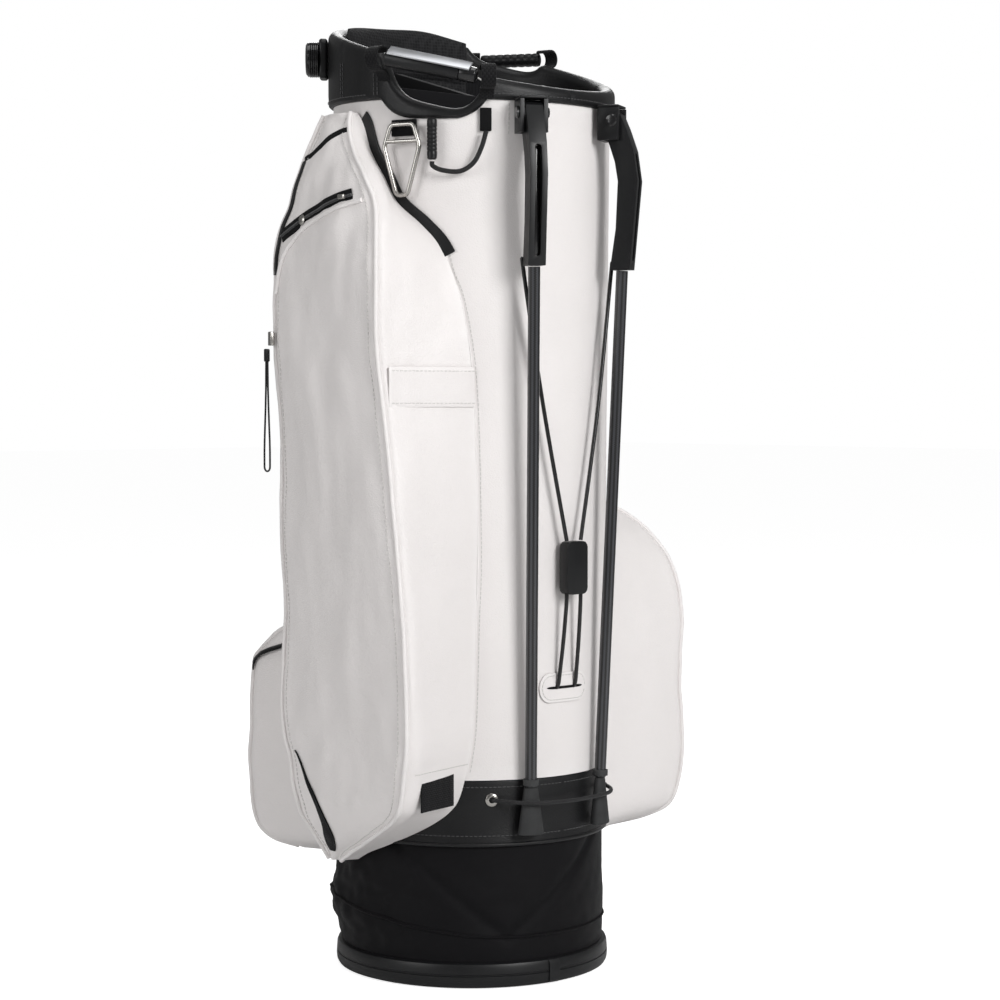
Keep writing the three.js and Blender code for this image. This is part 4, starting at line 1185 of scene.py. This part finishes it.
def make_pockets():
    near_rows = pocket("near", NEAR, ["near_pocket", "valuables_pocket"], 1.0)
    black_wedge(near_rows)
    zip_line = between(along(near_rows, BACK_EDGE + 2, 0.001), 0.385, 0.655)
    zip_along("near_zip", zip_line, [Vector((-0.6, 0.8, 0))] * len(zip_line), 0.009)
    binding = between(along(near_rows, BACK_EDGE - 1, 0.0014), 0.655, 0.765)
    dress(strap("back_edge_binding", binding, away(binding), 0.010, 0.0016), "bag", "black_leather")
    wall_edge = []
    for point in between(along(near_rows, 0), 0.672, 0.803):
        azimuth = math.degrees(math.atan2(point.x, -point.y)) + 2.2
        wall_edge.append(polar(tube_radius(point.z) + 0.0012, azimuth, point.z))
    dress(strap("wall_edge_binding", wall_edge, away(wall_edge), 0.011, 0.0018), "bag", "black_leather")
    opening = face_line(near_rows, [(0.1, 0.726), (0.4, 0.720), (0.75, 0.709), (1.05, 0.692)], 0.0006)
    zip_along("valuables_zip", opening, away(opening), 0.012)
    lip = face_line(near_rows, [(0.0, 0.7205), (0.4, 0.712), (0.72, 0.7), (0.93, 0.681), (1.08, 0.64)],
                    0.0008)
    dress(round_bar("main_panel_lip", lip, 0.0022), "bag", "white_leather")
    top_zip = face_line(near_rows, [(-0.12, 0.789), (0.4, 0.782), (0.8, 0.773), (1.12, 0.764)], 0.0005)
    dress(strap("top_zip_tape", top_zip, away(top_zip), 0.0052, 0.0011), "bag", "black_nylon",
          material=ZIP_TAPE)
    tab_at = face_line(near_rows, [(0.22, 0.7245), (0.22, 0.7246)], 0.0028)[0]
    dress(rounded_block("valuables_slider", (0.0034, 0.0085, 0.0042), tab_at, bevel=0.0009, segments=3),
          "bag", "satin_nickel")
    snap_at = face_line(near_rows, [(0.8, 0.7065), (0.8, 0.7066)], 0.0016)[0]
    dress(turned("nickel_snap", [(0, 0), (0.0044, 0), (0.0048, 0.0006), (0.0038, 0.0016), (0, 0.002)], 32,
                 snap_at, (-1, 0.1, 0.15)), "bag", "satin_nickel")
    far_rows = pocket("far", FAR, ["far_pocket"], 9.0)
    zip_line = between(along(far_rows, BACK_EDGE - 4, 0.0012), 0.17, 0.40)
    zip_along("far_zip", zip_line, [Vector((1, 0, 0))] * len(zip_line))
    ball_rows = pocket("ball", BALL, ["ball_pocket"], 14.0)
    arch = ball_arch(ball_rows)
    zip_along("ball_zip", arch, away(arch))
    gusset_straps(near_rows)


def ball_arch(rows):
    """The ball pocket's zip: level across the outer face, climbing to the wall on both sides."""
    first, last = 2, FACE + 2 * CORNER + OUTER + FACE - 2
    line = []
    for index in range(first, last):
        t = abs(2 * (index - first) / (last - 1 - first) - 1)
        z = 0.262 + 0.07 * max(0.0, (t - 0.35) / 0.65) ** 1.6
        row = min(rows, key=lambda r: abs(r[0].z - z))
        point = Vector((row[index].x, row[index].y, z))
        line.append(point + level_out(point) * 0.0012)
    return line


def gusset_straps(near_rows):
    """The keeper strap and the pen loop on the near pocket's front gusset."""
    for name, height, first, last, width, slot in (
            ("keeper_strap", 0.55, 0, FACE + 3, 0.036, "white_leather"),
            ("pen_loop", 0.19, 3, FACE, 0.034, "webbing")):
        row = min(near_rows, key=lambda r: abs(r[0].z - height))
        line = [Vector(p) + Vector((0.2, -1, 0)).normalized() * 0.0016 for p in row[first:last]]
        dress(strap(name, line, [Vector((0.1, -1, 0))] * len(line), width, 0.0014), "bag", slot)
        if slot == "white_leather":
            edges = [[p + Vector((0, -0.0008, s * 0.0145)) for p in line] for s in (-1, 1)]
            stitches(f"{name}_stitches", edges, slot)
    stitches("gusset_low_seam", [outline_band(near_rows, 0.206, 0, FACE + 2, 0.0008)], "white_leather")


def make_zip_pulls():
    """Slider, black crimp and a hanging loop of braided cord for each zip."""
    for name, top, drop, across in (("near", (-0.1916, 0.0724, 0.5906), 0.116, (0, 1, 0)),
                                    ("far", (0.2136, 0.0766, 0.2926), 0.088, (0, 1, 0)),
                                    ("ball", (0.03, 0.2296, 0.256), 0.056, (1, 0, 0))):
        rolled(f"{name}_zip_slider", f"{name}_slider_body", f"{name}_slider", "satin_nickel", 0.0009)
        top, across = Vector(top), Vector(across)
        crimp = rounded_block(f"{name}_pull_crimp", (0.0046, 0.0046, 0.012), top + Vector((0, 0, -0.008)),
                              bevel=0.0012)
        dress(crimp, f"{name}_pull", "moulded_black")
        low = drop - PULL_LOOP_R
        strand = [(0.0012 + (PULL_LOOP_R - 0.0012) * blend_step(step, 0, 5),
                   -0.014 - (low - 0.014) * (1 - (1 - step / 8) ** 2)) for step in range(9)]
        bend = [(PULL_LOOP_R * math.cos(math.pi * k / 8), -low - PULL_LOOP_R * math.sin(math.pi * k / 8))
                for k in range(1, 8)]
        loop = [(-x, z) for x, z in strand + bend] + strand[::-1]
        points = [top + across * x + Vector((0, 0, z)) for x, z in loop]
        pull = path_curve(f"{name}_pull_cord", points, PULL_CORD_R)
        dress(pull, f"{name}_pull", "cord_cover", [f"{name}_zip_pull"])
        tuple(points[0])
        run_length(points)


# ---------------------------------------------------------------- small fittings and cords

def make_towel_ring():
    """A hexagonal ring of bent rod with a crossbar under its webbing."""
    middle, across = polar(0.1405, -69, 0.793), polar(1, 21, 0)
    rounded = []
    corners = ((-0.0115, -0.002), (0.0115, -0.002), (0.0182, -0.022), (0.0057, -0.066), (-0.0057, -0.066),
               (-0.0182, -0.022))
    for i, corner in enumerate(corners):
        here, before, after = Vector(corner), Vector(corners[i - 1]), Vector(corners[(i + 1) % 6])
        a = here + (before - here).normalized() * 0.004
        b = here + (after - here).normalized() * 0.004
        rounded += [a * (1 - t) ** 2 + here * 2 * t * (1 - t) + b * t * t for t in (0, 0.25, 0.5, 0.75, 1)]
    outline = [middle + across * p.x + Vector((0, 0, p.y)) for p in rounded]
    bars = [round_bar("towel_ring_outline", outline, 0.0021, 4, closed=True),
            round_bar("towel_ring_bar", [middle + across * x + Vector((0, 0, -0.0172))
                                         for x in (-0.0165, 0.0165)], 0.0019, 4)]
    dress(joined("towel_ring_form", bars), "towel_ring", "satin_nickel", ["towel_ring"])


def make_umbrella_holder():
    profile = [(0, -0.0183), (0.0032, -0.0183), (0.0044, -0.0172), (0.0046, -0.014)]
    for i in range(7):
        profile += [(0.0046, -0.011 + i * 0.0035), (0.0041, -0.0102 + i * 0.0035),
                    (0.0046, -0.0094 + i * 0.0035)]
    profile += [(0.0046, 0.0165), (0.004, 0.0182), (0, 0.0184)]
    toggle = turned("umbrella_barrel", profile, 32, polar(0.140, -57, 0.7765))
    dress(toggle, "bag", "moulded_black", ["umbrella_toggle"])
    pairs = [(-57, 0.7566), (-56.7, 0.7525), (-53, 0.7485), (-46.5, 0.7475), (-41.5, 0.755),
             (-38.5, 0.769), (-36.8, 0.7834)]
    points = smooth_path([polar(0.1395, a, z) for a, z in pairs], 8)
    cord = path_curve("umbrella_bungee", points, 0.0022, 4)
    dress(cord, "bag", "cord_cover", ["umbrella_cord"])
    run_length(points)


def make_leg_keeper():
    """The elastic round both feet, between two eyelets in the lower band."""
    profile = [(0.0024, 0), (0.006, 0), (0.0061, 0.0006), (0.0049, 0.0016), (0.003, 0.0016), (0.0024, 0)]
    for word, azimuth in (("left", -33.9), ("right", 33.9)):
        ring = turned(f"eyelet_ring_{word}", profile, 32, polar(TUBE_LOW_R + 0.0004, azimuth, 0.1745),
                      polar(1, azimuth, 0))
        dress(ring, "bag", "satin_nickel", [f"eyelet_{word}"])
    route = [(0.1308, -33.9, 0.1745), (0.133, -31.5, 0.1742), (0.142, -25.5, 0.1735), (0.1476, -19, 0.173),
             (0.1474, -12, 0.1724), (0.147, 0, 0.172), (0.1474, 12, 0.1724), (0.1476, 19, 0.173),
             (0.142, 25.5, 0.1735), (0.133, 31.5, 0.1742), (0.1308, 33.9, 0.1745)]
    points = smooth_path([polar(*p) for p in route], 8)
    keeper = path_curve("leg_keeper_elastic", points, 0.0019, 4)
    dress(keeper, "bag", "cord_cover", ["retention_cord"])
    run_length(points)


def dress_kept_nodes():
    """Nodes that stay as they are get their slot's finish."""
    for part in frame["record"]["subparts"]:
        node = frame["nodes"][part["node"]]
        if not node.hide_render:
            node.data.materials.clear()
            node.data.materials.append(FINISHES[part["material_slot"]])


make_tube()
make_lower_band()
make_boot()
make_base()
make_collar()
make_pads()
make_dividers()
make_handles()
make_legs()
make_linkage()
make_pockets()
make_zip_pulls()
for webbing in ("towel_webbing", "umbrella_webbing"):
    rolled(webbing, webbing + "_form", "bag", "webbing", 0.0007)
make_towel_ring()
make_umbrella_holder()
make_leg_keeper()
dress_kept_nodes()
